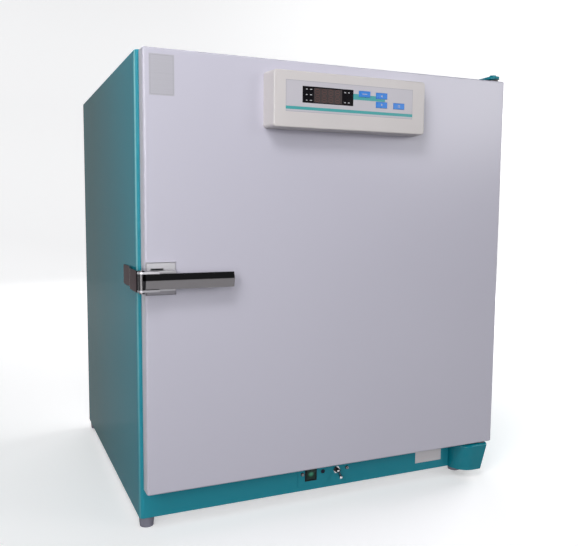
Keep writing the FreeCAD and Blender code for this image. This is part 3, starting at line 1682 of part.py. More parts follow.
SUB_PARTS = (
    case_shell, front_frame, chamber_liner, insulation, inner_sheets, rear_panel, feet, fan_baffle,
    fan, heater, motor, racks_and_shelves, sensors_and_vent, cable_gland, door_shell, door_inside,
    hinges, control_housing, control_inside, latch_base, latch_lever, keeper, control_plate,
    rocker_switch, reset_button, toggle_switch, power_parts,
)

NODES = (
    "case_shell", "front_frame", "chamber_liner", "insulation_wrap", "insulation_back",
    "inner_rear_wall", "base_ceiling", "base_pan", "rear_panel", "rear_panel_screws", "feet",
    "fan_baffle", "fan_wheel", "fan_shaft", "heater", "motor_strap", "fan_motor",
    "shelf_rack_left", "shelf_rack_right", "shelf_lower", "shelf_middle", "shelf_upper",
    "temperature_probe", "safety_bulb", "vent_pipe", "cable_gland",
    "door_shell", "door_insulation", "door_liner", "door_liner_screws", "door_gasket",
    "hinge_bushes", "top_hinge_bracket", "hinge_bolt", "lower_hinge_block", "hinge_pin",
    "control_housing", "membrane_overlay", "display_window", "display_module", "circuit_board",
    "mode_key", "up_key", "down_key", "start_key",
    "latch_base", "latch_pin", "latch_lever", "latch_keeper",
    "control_plate", "control_plate_screws", "rocker_housing", "rocker",
    "thermostat_body", "reset_button", "toggle_housing", "toggle_nut", "toggle_lever",
    "power_module", "terminal_block",
)


def write_parts():
    """Checks every object and writes each node's solids to its own file."""
    doc.recompute()
    failed = [one.Label for one in doc.Objects if {"Invalid", "Error"} & set(one.State)]
    if failed:
        raise RuntimeError(f"these objects failed: {failed}")
    os.makedirs("parts", exist_ok=True)
    for node in NODES:
        part = doc.getObjectsByLabel(node)[0]
        if part.Shape.isNull() or not part.Shape.isValid() or not part.Shape.Solids:
            raise RuntimeError(f"{node} has no valid shape")
        part.Shape.exportStep(os.path.join("parts", f"{node}.step"))
        print(node, len(part.Shape.Solids), "solids,", round(part.Shape.Volume), "mm3")


for make in SUB_PARTS:
    make()
write_parts()
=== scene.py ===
"""Looks of the dry heat sterilizer: finishes, printed panel, screws, plates, floor, lights and camera."""

import math

import bmesh
import bpy
from mathutils import Euler, Matrix, Vector


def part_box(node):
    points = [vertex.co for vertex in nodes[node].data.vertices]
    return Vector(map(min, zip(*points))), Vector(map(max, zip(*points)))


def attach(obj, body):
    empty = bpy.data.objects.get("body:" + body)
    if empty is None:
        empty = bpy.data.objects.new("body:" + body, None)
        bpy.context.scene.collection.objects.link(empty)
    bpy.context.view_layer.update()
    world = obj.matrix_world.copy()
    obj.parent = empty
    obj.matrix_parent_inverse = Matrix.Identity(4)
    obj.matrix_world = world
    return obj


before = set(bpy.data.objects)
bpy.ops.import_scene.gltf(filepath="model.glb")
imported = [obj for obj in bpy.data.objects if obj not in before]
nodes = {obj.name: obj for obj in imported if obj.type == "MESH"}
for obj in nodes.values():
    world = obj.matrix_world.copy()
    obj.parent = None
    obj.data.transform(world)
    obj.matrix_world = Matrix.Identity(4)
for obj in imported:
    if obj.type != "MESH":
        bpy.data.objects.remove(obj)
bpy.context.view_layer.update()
MM = 0.001

CASE_LOW, CASE_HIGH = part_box("case_shell")
DOOR_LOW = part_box("door_shell")[0]
OVERLAY_LOW, OVERLAY_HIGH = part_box("membrane_overlay")
WINDOW_LOW, WINDOW_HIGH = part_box("display_window")


def spot(x, y, z):
    """A place in millimetres from the case's lower left front corner."""
    return Vector(CASE_LOW) + Vector((x, y, z)) * MM


def darker(color, share):
    """The colour with each part brought down to a share of itself."""
    return tuple(part * share for part in color)


def paler(color, share, extra=0.0):
    """The colour with each part brought up, to full white at most."""
    return tuple(min(1, part * share + extra) for part in color)


# ---- materials

# where the case's side faces carry painted shade and sheen and its upright front bends a painted highlight,
# from its front, its sides and its bottom
SIDE_SHADE_START, SIDE_SHADE_END, SIDE_SHADE_SHARE = 8 * MM, 400 * MM, 0.6
SIDE_FACE = 0.5 * MM, 4 * MM
HIGHLIGHT_OUTER = 0.12 * MM, 0.4 * MM
HIGHLIGHT_INNER = 1.1 * MM, 2.6 * MM
HIGHLIGHT_DEPTH = 4 * MM, 7 * MM
HIGHLIGHT_HEIGHTS = 80 * MM, 400 * MM
HIGHLIGHT_SHARE, HIGHLIGHT_LOW_SHARE = 0.85, 0.35

# painted shade on the latch's base: the lever's shadow below it and a dark line in the crease over the
# upper ear
SHADOW_BELOW_LEVER = 8 * MM
SHADE_LINE_DROP, SHADE_LINE_ASIDE = 0.6 * MM, 21 * MM
SHADE_LINE_THICK = 1 * MM, 1.6 * MM
SHADE_LINE_LONG = 8 * MM, 10.5 * MM

# painted dark reflection on the plating: the hook's outer side, the lever's root and the keeper's lip
PAINTED_DARK_REFLECTION = (0.010, 0.010, 0.012)
DARK_REFLECTION_SHARE = 0.95
HOOK_SIDE = 0.9 * MM, 1.4 * MM
ROOT_ASIDE, ROOT_HALF = 7.3 * MM, (1.8 * MM, 2.4 * MM)
LIP = 1.5 * MM, 2.7 * MM


class Finish:
    """A material whose colour, roughness and relief all vary over the surface."""

    def __init__(self, name, color, roughness, metallic=0.0):
        self.material = bpy.data.materials.new(name)
        self.material.use_nodes = True
        self.tree = self.material.node_tree
        self.shader = self.tree.nodes["Principled BSDF"]
        self.shader.inputs["Roughness"].default_value = roughness
        self.shader.inputs["Metallic"].default_value = metallic
        self.shader.inputs["Base Color"].default_value = (*color, 1)
        self.color = color
        self.height = None
        self.place = self.tree.nodes.new("ShaderNodeTexCoord").outputs["Object"]

    def set(self, **values):
        for name, value in values.items():
            self.shader.inputs[name.replace("_", " ")].default_value = value
        return self

    def node(self, kind, **inputs):
        """A new node with its inputs linked or given a value."""
        made = self.tree.nodes.new(kind)
        for name, value in inputs.items():
            socket = made.inputs[name.replace("_", " ")]
            if isinstance(value, bpy.types.NodeSocket):
                self.tree.links.new(value, socket)
            else:
                socket.default_value = value
        return made

    def stretched(self, scale):
        """The surface's place, stretched so that a pattern becomes long strokes."""
        mapping = self.node("ShaderNodeMapping", Vector=self.place)
        mapping.inputs["Scale"].default_value = scale
        return mapping.outputs["Vector"]

    def noise(self, scale, detail=4.0, place=None, rough=0.55):
        made = self.node("ShaderNodeTexNoise", Vector=place or self.place, Scale=scale, Detail=detail)
        made.inputs["Roughness"].default_value = rough
        return made.outputs["Fac"]

    def band(self, value, low, high, start=0.0, end=1.0):
        """Maps a value from low..high to start..end, clamped."""
        made = self.node("ShaderNodeMapRange", Value=value)
        for name, number in (("From Min", low), ("From Max", high), ("To Min", start), ("To Max", end)):
            made.inputs[name].default_value = number
        return made.outputs["Result"]

    def blend(self, amount, first, second):
        """Two colours, each a value or a socket, mixed by an amount."""
        made = self.tree.nodes.new("ShaderNodeMix")
        made.data_type = "RGBA"
        self.tree.links.new(amount, made.inputs["Factor"])
        for socket, color in ((made.inputs["A"], first), (made.inputs["B"], second)):
            if isinstance(color, bpy.types.NodeSocket):
                self.tree.links.new(color, socket)
            else:
                socket.default_value = (*color, 1)
        return made.outputs["Result"]

    def math(self, kind, *values):
        """One sum on two values, each a number or a socket."""
        made = self.tree.nodes.new("ShaderNodeMath")
        made.operation = kind
        for socket, value in zip(made.inputs, values):
            if isinstance(value, bpy.types.NodeSocket):
                self.tree.links.new(value, socket)
            else:
                socket.default_value = value
        return made.outputs["Value"]

    def along(self, axis):
        """How far along one axis the surface lies."""
        return self.node("ShaderNodeSeparateXYZ", Vector=self.place).outputs[axis]

    def away(self, axis, middle):
        """The distance along one axis from a middle, to either side."""
        return self.math("ABSOLUTE", self.math("SUBTRACT", self.along(axis), middle))

    def from_sides(self):
        """The distance from the nearer side of the case."""
        middle = (CASE_LOW.x + CASE_HIGH.x) / 2
        return self.math("SUBTRACT", (CASE_HIGH.x - CASE_LOW.x) / 2, self.away("X", middle))

    def painted_side_shade(self):
        """How much painted shade and sheen grey the two side faces, more towards the back."""
        back = self.band(self.along("Y"), CASE_LOW.y + SIDE_SHADE_START, CASE_LOW.y + SIDE_SHADE_END, 0, SIDE_SHADE_SHARE)
        return self.math("MULTIPLY", back, self.band(self.from_sides(), *SIDE_FACE, 1, 0))

    def painted_edge_highlight(self):
        """How far a painted highlight lightens the two upright front bends, most of all near the top."""
        aside = self.from_sides()
        line = self.math("MULTIPLY", self.band(aside, *HIGHLIGHT_OUTER), self.band(aside, *HIGHLIGHT_INNER, 1, 0))
        front_start, front_end = (CASE_LOW.y + reach for reach in HIGHLIGHT_DEPTH)
        near_front = self.band(self.along("Y"), front_start, front_end, HIGHLIGHT_SHARE, 0)
        low, high = (CASE_LOW.z + height for height in HIGHLIGHT_HEIGHTS)
        near_top = self.band(self.along("Z"), low, high, HIGHLIGHT_LOW_SHARE, 1)
        return self.math("MULTIPLY", self.math("MULTIPLY", line, near_front), near_top)

    def tint(self, amount, other):
        """Mixes the colour so far with another one, by a 0..1 value."""
        links = self.shader.inputs["Base Color"].links
        first = links[0].from_socket if links else self.color
        self.tree.links.new(self.blend(amount, first, other), self.shader.inputs["Base Color"])
        return self

    def gloss(self, value, low, high):
        """Lets the roughness follow a value."""
        self.tree.links.new(self.band(value, 0.3, 0.7, low, high), self.shader.inputs["Roughness"])
        return self

    def relief(self, height, distance, strength=1.0):
        bump = self.node("ShaderNodeBump", Height=height, Strength=strength, Distance=distance)
        if self.height is not None:
            self.tree.links.new(self.height, bump.inputs["Normal"])
        self.height = bump.outputs["Normal"]
        self.tree.links.new(self.height, self.shader.inputs["Normal"])
        return self


def powder_coat(name, color, roughness, mottle=0.92, orange_peel=0.00003):
    """Baked enamel: faint orange peel, fine specks and a little unevenness of tone and gloss."""
    made = Finish(name, color, roughness)
    broad = made.noise(3.0, 1.0)
    made.tint(made.band(broad, 0.2, 0.8), darker(color, mottle))
    speck = made.noise(900.0, 2.0)
    made.tint(made.band(speck, 0.62, 0.8, 0, 0.08), darker(color, 0.8))
    made.gloss(made.noise(5.0, 1.0), roughness * 0.97, roughness * 1.03)
    made.relief(made.noise(380.0, 1.0), orange_peel, 0.6)
    return made


def case_coat():
    """The case's gloss enamel, over thin sheet that isn't quite flat."""
    made = powder_coat("case_teal_enamel", (0.023, 0.300, 0.390), 0.20, orange_peel=0.000012)
    made.set(Specular_IOR_Level=0.0, Coat_Weight=0.22, Coat_Roughness=0.12)
    # painted shade and sheen: the side faces greyer, more so towards the back
    made.tint(made.painted_side_shade(), (0.050, 0.135, 0.125))
    # painted highlight: a pale line along the upright front bends, brightest near the top
    made.tint(made.painted_edge_highlight(), (0.30, 0.62, 0.65))
    made.relief(made.noise(3.0, 0.0, made.stretched((1, 1, 0.7))), 0.010, 0.30)
    return made


def hinge_coat():
    """The same enamel on the castings, a little thicker, in a darker copy of the case's colour as painted
    shade.
    """
    # painted shade: the enamel's colour darker here than on the case
    made = powder_coat("hinge_teal_enamel", (0.006, 0.220, 0.285), 0.18, 0.97)
    made.set(Specular_IOR_Level=0.0, Coat_Weight=0.35, Coat_Roughness=0.08)
    return made


def door_coat():
    """The door's satin enamel, faintly lilac."""
    return powder_coat("door_lilac_enamel", (0.562, 0.547, 0.638), 0.286, 0.97)


def brushed(name, color, roughness, across=(1.5, 220.0, 220.0)):
    """Bare metal with its grain along one axis."""
    made = Finish(name, color, roughness, 1.0)
    grain = made.noise(6.0, 6.0, made.stretched(across), 0.7)
    made.tint(made.band(grain, 0.3, 0.7, 0, 0.5), darker(color, 0.8))
    made.tint(made.band(made.noise(5.0, 3.0), 0.5, 0.75, 0, 0.35), darker(color, 0.85))
    made.gloss(grain, roughness * 0.8, roughness * 1.3)
    made.relief(grain, 0.00003, 0.5)
    return made


def latch_nickel():
    """The latch base's satin nickel, with painted shadow below the lever and a painted shade line over the
    upper ear.
    """
    made = brushed("satin_nickel", (0.62, 0.61, 0.64), 0.36, (30.0, 300.0, 300.0))
    pin_low, pin_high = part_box("latch_pin")
    # painted shadow: the plate darkened below the lever
    film = made.band(made.along("Z"), pin_low.z, pin_low.z + SHADOW_BELOW_LEVER, 0.8, 0)
    made.tint(film, (0.10, 0.095, 0.11))
    # painted shade: a dark line in the crease over the upper ear
    thick = made.band(made.away("Z", pin_high.z - SHADE_LINE_DROP), *SHADE_LINE_THICK, 0.97, 0)
    long = made.band(made.away("X", CASE_LOW.x + SHADE_LINE_ASIDE), *SHADE_LINE_LONG, 1, 0)
    made.tint(made.math("MULTIPLY", thick, long), (0.012, 0.012, 0.016))
    return made


def zinc_sheet():
    """Galvanised sheet with a faint spangle."""
    made = Finish("galvanised_sheet", (0.50, 0.52, 0.53), 0.5, 1.0)
    spangle = made.node("ShaderNodeTexVoronoi", Vector=made.place, Scale=70.0)
    made.tint(made.band(spangle.outputs["Distance"], 0.0, 0.7, 0, 0.35), (0.68, 0.70, 0.72))
    made.gloss(made.noise(40.0), 0.42, 0.6)
    made.relief(made.noise(300.0, 2.0), 0.00003)
    return made


def chrome(name, color):
    """Polished plating: nearly a mirror, with fine wipe marks and slight waves."""
    made = Finish(name, color, 0.06, 1.0)
    wipes = made.noise(18.0, 5.0, made.stretched((1, 8, 30)), 0.7)
    made.gloss(wipes, 0.035, 0.11)
    made.tint(made.band(made.noise(60.0), 0.5, 0.8, 0, 0.25), darker(color, 0.75))
    made.relief(made.noise(90.0, 2.0), 0.00002, 0.4)
    return made


def lever_chrome():
    """The lever's smoked plating, with painted dark reflection on the hook's outer side and at the root
    beside the barrel.
    """
    made = chrome("smoked_chrome", (0.18, 0.172, 0.178))
    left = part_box("latch_lever")[0].x
    start, end = (left + reach for reach in HOOK_SIDE)
    # painted dark reflection on the hook's outer side and at the root
    made.tint(made.band(made.along("X"), start, end, DARK_REFLECTION_SHARE, 0), PAINTED_DARK_REFLECTION)
    made.tint(made.band(made.away("X", left + ROOT_ASIDE), *ROOT_HALF, DARK_REFLECTION_SHARE, 0), PAINTED_DARK_REFLECTION)
    return made


def keeper_chrome():
    """The keeper's plating, with painted dark reflection on its bent lip."""
    made = chrome("keeper_chrome", (0.125, 0.113, 0.115)).set(Specular_Tint=(0.34, 0.315, 0.32, 1))
    start, end = (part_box("latch_keeper")[0].y + reach for reach in LIP)
    # painted dark reflection on the keeper's lip
    made.tint(made.band(made.along("Y"), start, end, DARK_REFLECTION_SHARE, 0), PAINTED_DARK_REFLECTION)
    return made


def moulded(name, color, roughness, grain=500.0, depth=0.00004):
    """Moulded plastic with a fine spark-eroded grain."""
    made = Finish(name, color, roughness)
    fine = made.noise(grain, 3.0)
    made.tint(made.band(made.noise(7.0, 2.0), 0.4, 0.7), darker(color, 0.95))
    made.tint(made.band(fine, 0.6, 0.8, 0, 0.15), darker(color, 0.82))
    made.gloss(made.noise(60.0), roughness * 0.85, roughness * 1.15)
    made.relief(fine, depth)
    return made


def rubber(name, color):
    """Rubber, matt and a little bloomed."""
    made = moulded(name, color, 0.7, 260.0, 0.00008)
    made.tint(made.band(made.noise(25.0), 0.5, 0.8, 0, 0.3), paler(color, 1.5))
    return made


def mineral_wool():
    """Yellow-brown wool in long strands."""
    made = Finish("mineral_wool", (0.55, 0.47, 0.22), 0.95)
    strands = made.noise(120.0, 8.0, made.stretched((1, 1, 6)), 0.8)
    made.tint(made.band(strands, 0.3, 0.7), (0.33, 0.27, 0.11))
    made.relief(strands, 0.0015)
    return made


def heated_steel():
    """The element's sheath, browned and blued by use."""
    made = Finish("heat_browned_steel", (0.20, 0.15, 0.11), 0.45, 1.0)
    made.tint(made.band(made.noise(30.0), 0.4, 0.7), (0.10, 0.09, 0.13))
    made.relief(made.noise(600.0), 0.00004)
    return made


def copper():
    """Copper dulled by heat."""
    made = Finish("dull_copper", (0.55, 0.27, 0.16), 0.38, 1.0)
    made.tint(made.band(made.noise(80.0), 0.45, 0.75), (0.30, 0.14, 0.09))
    return made


def sintered_iron():
    """Oil-filled sintered iron with its open pores."""
    made = Finish("sintered_iron", (0.10, 0.10, 0.105), 0.5, 1.0)
    pores = made.noise(1500.0, 2.0)
    made.tint(made.band(pores, 0.5, 0.75), (0.03, 0.03, 0.03))
    made.relief(pores, 0.00005)
    return made


def laminations():
    """The motor's stacked iron sheets under varnish."""
    made = Finish("varnished_laminations", (0.06, 0.06, 0.07), 0.4, 0.6)
    stack = made.node("ShaderNodeTexWave", Vector=made.place, Scale=320.0)
    stack.bands_direction = "Y"
    made.tint(stack.outputs["Fac"], (0.13, 0.11, 0.10))
    made.relief(stack.outputs["Fac"], 0.0001)
    return made


def circuit_board():
    """Green lacquer over the board's tracks."""
    made = Finish("lacquered_board", (0.01, 0.12, 0.045), 0.3)
    tracks = made.node("ShaderNodeTexBrick", Vector=made.stretched((60, 60, 60)))
    tracks.inputs["Color1"].default_value = (0.01, 0.12, 0.045, 1)
    tracks.inputs["Color2"].default_value = (0.015, 0.17, 0.07, 1)
    tracks.inputs["Mortar"].default_value = (0.02, 0.25, 0.09, 1)
    made.tree.links.new(tracks.outputs["Color"], made.shader.inputs["Base Color"])
    return made


def smoked_window():
    """Smoked acrylic over the display, with faint dust."""
    made = Finish("smoked_window", (0.006, 0.005, 0.007), 0.10)
    dust = made.noise(700.0, 2.0)
    made.tint(made.band(dust, 0.64, 0.8, 0, 0.25), (0.08, 0.07, 0.07))
    made.gloss(made.noise(40.0), 0.07, 0.16)
    return made


def overlay_film():
    """The keypad's printed film: pale lilac-grey, finely textured."""
    return moulded("overlay_film", (0.53, 0.51, 0.56), 0.38, 1200.0, 0.00001)


def printed(name, color, roughness=0.4):
    """Screen-printed ink, a little uneven in cover."""
    made = Finish(name, color, roughness)
    cover = made.noise(800.0, 3.0)
    made.tint(made.band(cover, 0.55, 0.8, 0, 0.3), paler(color, 1.3, 0.02))
    made.gloss(made.noise(200.0), roughness * 0.85, roughness * 1.15)
    return made


def blank_foil(name, color):
    """A bare label of silvered film with a soft horizontal grain."""
    made = Finish(name, color, 0.42, 0.25)
    grain = made.noise(5.0, 5.0, made.stretched((3, 1, 400)), 0.7)
    made.tint(made.band(grain, 0.35, 0.7, 0, 0.5), darker(color, 0.86))
    made.gloss(grain, 0.3, 0.46)
    made.relief(made.noise(40.0, 2.0), 0.0001, 0.3)
    return made


# how far from the rocker's middle its lamp begins and ends to fade
GLOW_FADE = 0.4 * MM, 6.2 * MM


def lit_green():
    """The rocker's dark green plastic, lit from behind its middle."""
    made = Finish("lit_green_plastic", (0.003, 0.026, 0.018), 0.16)
    low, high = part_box("rocker")
    centre = (low + high) / 2
    mapping = made.node("ShaderNodeMapping", Vector=made.place)
    mapping.inputs["Location"].default_value = [-part for part in centre]
    distance = made.node("ShaderNodeVectorMath")
    distance.operation = "LENGTH"
    made.tree.links.new(mapping.outputs["Vector"], distance.inputs[0])
    glow = made.band(distance.outputs["Value"], *GLOW_FADE, 1, 0)
    made.tint(made.band(glow, 0, 1, 0, 0.5), (0.02, 0.16, 0.10))
    made.set(Emission_Strength=0.75, Specular_IOR_Level=0.2)
    lamp = made.blend(glow, (0.0, 0.003, 0.002), (0.06, 0.34, 0.19))
    made.tree.links.new(lamp, made.shader.inputs["Emission Color"])
    made.relief(made.noise(300.0), 0.00003)
    return made


FINISHES = (
    (lever_chrome(), ("latch_lever", "latch_pin")),
    (chrome("bright_chrome", (0.58, 0.57, 0.58)), ("toggle_lever", "toggle_nut")),
    (keeper_chrome(), ("latch_keeper",)),
    (latch_nickel(), ("latch_base",)),
    (brushed("brushed_stainless", (0.60, 0.59, 0.57), 0.30),
     ("chamber_liner", "shelf_lower", "shelf_middle", "shelf_upper", "fan_wheel", "fan_shaft",
      "temperature_probe", "vent_pipe", "hinge_pin")),
    (brushed("brushed_stainless_upright", (0.60, 0.59, 0.57), 0.30, (220.0, 220.0, 1.5)),
     ("door_liner", "fan_baffle", "shelf_rack_left", "shelf_rack_right")),
    (brushed("bright_zinc", (0.66, 0.67, 0.68), 0.26, (300.0, 300.0, 300.0)),
     ("rear_panel_screws", "door_liner_screws")),
    (brushed("extruded_aluminium", (0.66, 0.67, 0.68), 0.34), ("power_module",)),
    (moulded("black_moulding", (0.008, 0.008, 0.010), 0.4).set(Specular_IOR_Level=0.15),
     ("rocker_housing", "thermostat_body", "toggle_housing", "cable_gland")),
    (moulded("reset_navy", (0.006, 0.012, 0.05), 0.28).set(Specular_IOR_Level=0.15), ("reset_button",)),
    (moulded("warm_white_moulding", (0.62, 0.585, 0.585), 0.42), ("control_housing",)),
    (moulded("display_black", (0.02, 0.018, 0.018), 0.5), ("display_module",)),
    (moulded("terminal_cream", (0.62, 0.58, 0.46), 0.5), ("terminal_block",)),
    (case_coat(), ("case_shell", "control_plate")),
    (hinge_coat(), ("top_hinge_bracket", "lower_hinge_block", "hinge_bolt")),
    (door_coat(), ("door_shell",)),
    (powder_coat("frame_grey_enamel", (0.27, 0.28, 0.30), 0.45), ("front_frame",)),
    (zinc_sheet(), ("rear_panel", "inner_rear_wall", "base_ceiling", "base_pan", "motor_strap")),
    (chrome("nickel_screws", (0.24, 0.24, 0.25)), ("control_plate_screws",)),
    (mineral_wool(), ("insulation_wrap", "insulation_back", "door_insulation")),
    (heated_steel(), ("heater",)),
    (copper(), ("safety_bulb",)),
    (rubber("foot_rubber", (0.22, 0.215, 0.27)), ("feet",)),
    (rubber("red_silicone", (0.33, 0.07, 0.045)), ("door_gasket",)),
    (overlay_film(), ("membrane_overlay",)),
    (smoked_window(), ("display_window",)),
    (circuit_board(), ("circuit_board",)),
    (printed("key_blue", (0.010, 0.195, 0.66), 0.30), ("mode_key", "up_key", "down_key", "start_key")),
    (lit_green(), ("rocker",)),
    (laminations(), ("fan_motor",)),
    (sintered_iron(), ("hinge_bushes",)),
)

for finish, names in FINISHES:
    for name in names:
        nodes[name].data.materials.clear()
        nodes[name].data.materials.append(finish.material)


# ---- pieces


LEGEND_WHITE = printed("legend_white", (0.46, 0.46, 0.48))
STRIPE_TEAL = printed("stripe_teal", (0.045, 0.335, 0.345))
BORDER_GREY = printed("border_grey", (0.33, 0.32, 0.36))
UNLIT_FIELD = printed("unlit_segments", (0.052, 0.041, 0.042), 0.2)
UNLIT_DIGITS = printed("segment_edges", (0.11, 0.055, 0.05), 0.2)
# painted shade: the black in the screws' cross recesses
DARK_GAP = printed("shadow_black", (0.006, 0.006, 0.007), 0.6)
DOOR_FOIL = blank_foil("door_label_foil", (0.49, 0.48, 0.53))
PLINTH_FOIL = blank_foil("plinth_plate_foil", (0.60, 0.57, 0.59))


def made_object(mesh, name, finish):
    """Turns a bmesh into an object of the scene."""
    data = bpy.data.meshes.new(name)
    mesh.to_mesh(data)
    mesh.free()
    data.materials.append(finish.material)
    made = bpy.data.objects.new(name, data)
    bpy.context.scene.collection.objects.link(made)
    return made


def finish_piece(mesh, name, finish, body, bend=0.0):
    """Turns a bmesh into a piece that rides on a body, with its edges bent by so much."""
    bmesh.ops.recalc_face_normals(mesh, faces=mesh.faces)
    piece = made_object(mesh, name, finish)
    if bend:
        rounding = piece.modifiers.new("edges", "BEVEL")
        rounding.width = bend
        rounding.segments = 2
        rounding.limit_method = "ANGLE"
    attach(piece, body)


def add_slab(mesh, low, high):
    """A box between two corners."""
    low, high = Vector(low), Vector(high)
    middle, span = (low + high) / 2, high - low
    matrix = Matrix.Translation(middle) @ Matrix.Diagonal((*span, 1))
    bmesh.ops.create_cube(mesh, size=1, matrix=matrix)


# how far print stands on its face
INK = 0.06 * MM


def printed_patch(mesh, left, low, width, height, face_y, proud=INK):
    """A printed area on a face that looks to the front."""
    add_slab(mesh, (left, face_y - proud, low), (left + width, face_y, low + height))


def printed_frame(mesh, left, low, width, height, inset, line, face_y):
    """Four thin printed lines a little inside an area's edge."""
    left, low, width, height = left + inset, low + inset, width - inset * 2, height - inset * 2
    for low_x, low_z, long_x, long_z in (
        (left, low, width, line),
        (left, low + height - line, width, line),
        (left, low + line, line, height - line * 2),
        (left + width - line, low + line, line, height - line * 2),
    ):
        printed_patch(mesh, low_x, low_z, long_x, long_z, face_y, INK / 2)


# the print on the keypad, in heights above the overlay's lower edge
STRIPE_LOW, STRIPE_TALL = 3.5 * MM, 4.4 * MM
BAR_LOW, BAR_LAP = 23.6 * MM, 0.9 * MM
BORDER_INSET, BORDER_LINE = 0.4 * MM, 0.45 * MM


def overlay_print():
    """The keypad's stripe, the teal bar behind the keys and the thin border."""
    x, z = OVERLAY_LOW.x, OVERLAY_LOW.z
    width, height = OVERLAY_HIGH.x - x, OVERLAY_HIGH.z - z
    face = OVERLAY_LOW.y
    stripe = bmesh.new()
    printed_patch(stripe, x, z + STRIPE_LOW, width, STRIPE_TALL, face)
    mode_low, mode_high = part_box("mode_key")
    first, second = mode_low.x + BAR_LAP, mode_high.x - BAR_LAP
    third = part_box("up_key")[0].x + BAR_LAP
    for left, long, tall in (
        (WINDOW_HIGH.x, first - WINDOW_HIGH.x, 8.6 * MM),
        (first, 20.6 * MM, 4.4 * MM),
        (second, third - second, 7.6 * MM),
        (third, 16.5 * MM, 3.4 * MM),
    ):
        printed_patch(stripe, left, z + BAR_LOW, long, tall, face)
    finish_piece(stripe, "overlay_stripe", STRIPE_TEAL, "door")
    border = bmesh.new()
    printed_frame(border, x, z, width, height, BORDER_INSET, BORDER_LINE, face)
    finish_piece(border, "overlay_border", BORDER_GREY, "door")


# where each bar of a digit lies, in shares of its width and height, and whether it lies down
SEGMENTS = (
    (0.5, 1.0, True), (0.5, 0.5, True), (0.5, 0.0, True),
    (0.0, 0.75, False), (1.0, 0.75, False), (0.0, 0.25, False), (1.0, 0.25, False),
)


# the display, from the window's lower left corner: its field's left, bottom, width and height in mm
FIELD = (18.7, 1.2, 47.3, 21.0)
FIELD_PROUD = INK / 3
DIGIT_ROWS, DIGITS_IN_ROW = 2, 4
DIGIT_LEFT, DIGIT_LOW = 21.2, 2.9
DIGIT_STEP, ROW_STEP = 11.2, 10.2
DIGIT_WIDE, DIGIT_TALL = 6.6 * MM, 7.6 * MM
BAR_SHARE = 0.17
# the symbols beside the field, in columns of left and width and in rows of bottom and height, in mm
LEFT_COLUMNS, LEFT_ROWS = ((5.6, 2.4), (12.2, 3.4)), ((19.2, 1.178), (11.4, 1.178), (3.4, 1.054))
RIGHT_COLUMNS, RIGHT_ROWS = ((69.5, 3.0), (76.2, 2.8)), ((18.4, 1.3), (3.6, 1.3))


def add_digit(mesh, left, low, width, height, face):
    """One seven-segment digit: each bar is a thin slab with pointed ends."""
    thick = width * BAR_SHARE
    for across, up, lying in SEGMENTS:
        long = (width if lying else height / 2) - thick * 1.25
        centre = Vector((left + width * across, face, low + height * up))
        ring = bmesh.ops.create_circle(mesh, cap_ends=True, segments=6, radius=1)["verts"]
        for corner in ring:
            flat = corner.co.copy()
            reach = long / 2 + (thick / 2 if abs(flat.y) < 0.1 else 0)
            along = math.copysign(reach, flat.x) if abs(flat.x) > 0.1 else 0
            side = math.copysign(thick / 2, flat.y) if abs(flat.y) > 0.1 else 0
            offset = Vector((along, 0, side)) if lying else Vector((side, 0, along))
            corner.co = centre + offset
        faces = {one for corner in ring for one in corner.link_faces}
        grown = bmesh.ops.extrude_face_region(mesh, geom=list(faces))["geom"]
        bmesh.ops.translate(
            mesh,
            verts=[one for one in grown if isinstance(one, bmesh.types.BMVert)],
            vec=(0, -INK, 0),
        )


def display_print():
    """The unlit digits and the small symbols round them, on the window's face."""
    face = WINDOW_LOW.y
    x, z = WINDOW_LOW.x, WINDOW_LOW.z
    field = bmesh.new()
    across, up, width, height = (length * MM for length in FIELD)
    printed_patch(field, x + across, z + up, width, height, face, FIELD_PROUD)
    finish_piece(field, "display_field", UNLIT_FIELD, "door")
    digits = bmesh.new()
    for row in range(DIGIT_ROWS):
        for place in range(DIGITS_IN_ROW):
            left = x + (DIGIT_LEFT + place * DIGIT_STEP) * MM
            low = z + (DIGIT_LOW + row * ROW_STEP) * MM
            add_digit(digits, left, low, DIGIT_WIDE, DIGIT_TALL, face - FIELD_PROUD)
    finish_piece(digits, "display_digits", UNLIT_DIGITS, "door")
    symbols = bmesh.new()
    for columns, rows in ((LEFT_COLUMNS, LEFT_ROWS), (RIGHT_COLUMNS, RIGHT_ROWS)):
        for across, width in columns:
            for up, height in rows:
                printed_patch(symbols, x + across * MM, z + up * MM, width * MM, height * MM, face)
    finish_piece(symbols, "display_symbols", LEGEND_WHITE, "door")


# bars of the keys' marks in mm: middle across, middle up, width and height
KEY_BARS = {
    "mode_key": ((0, 0, 8.4, 0.9),),
    "start_key": ((0, -1.35, 3.6, 0.6), (0, 1.35, 3.6, 0.6), (-1.5, 0, 0.6, 2.1), (1.5, 0, 0.6, 2.1)),
}
# keys with an arrow, and whether it points up or down
KEY_ARROWS = {"up_key": 1, "down_key": -1}
ARROW_RADIUS = 2 * MM


def key_symbols():
    """Plain arrows and bars printed on the keys."""
    for name in ("mode_key", "up_key", "down_key", "start_key"):
        low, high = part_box(name)
        middle = (low + high) / 2
        mark = bmesh.new()
        for across, up, wide, tall in KEY_BARS.get(name, ()):
            left, bottom = middle.x + (across - wide / 2) * MM, middle.z + (up - tall / 2) * MM
            printed_patch(mark, left, bottom, wide * MM, tall * MM, low.y)
        if name in KEY_ARROWS:
            side = KEY_ARROWS[name]
            place = Matrix.Translation((middle.x, low.y - INK / 2, middle.z - side * 0.3 * MM))
            upright = Matrix.Rotation(math.radians(90), 4, "X")
            pointing = Matrix.Rotation(math.radians(90 * side), 4, "Z")
            bmesh.ops.create_cone(
                mark, cap_ends=True, segments=3, radius1=ARROW_RADIUS, radius2=ARROW_RADIUS, depth=INK,
                matrix=place @ upright @ pointing,
            )
        finish_piece(mark, f"{name}_mark", LEGEND_WHITE, name)


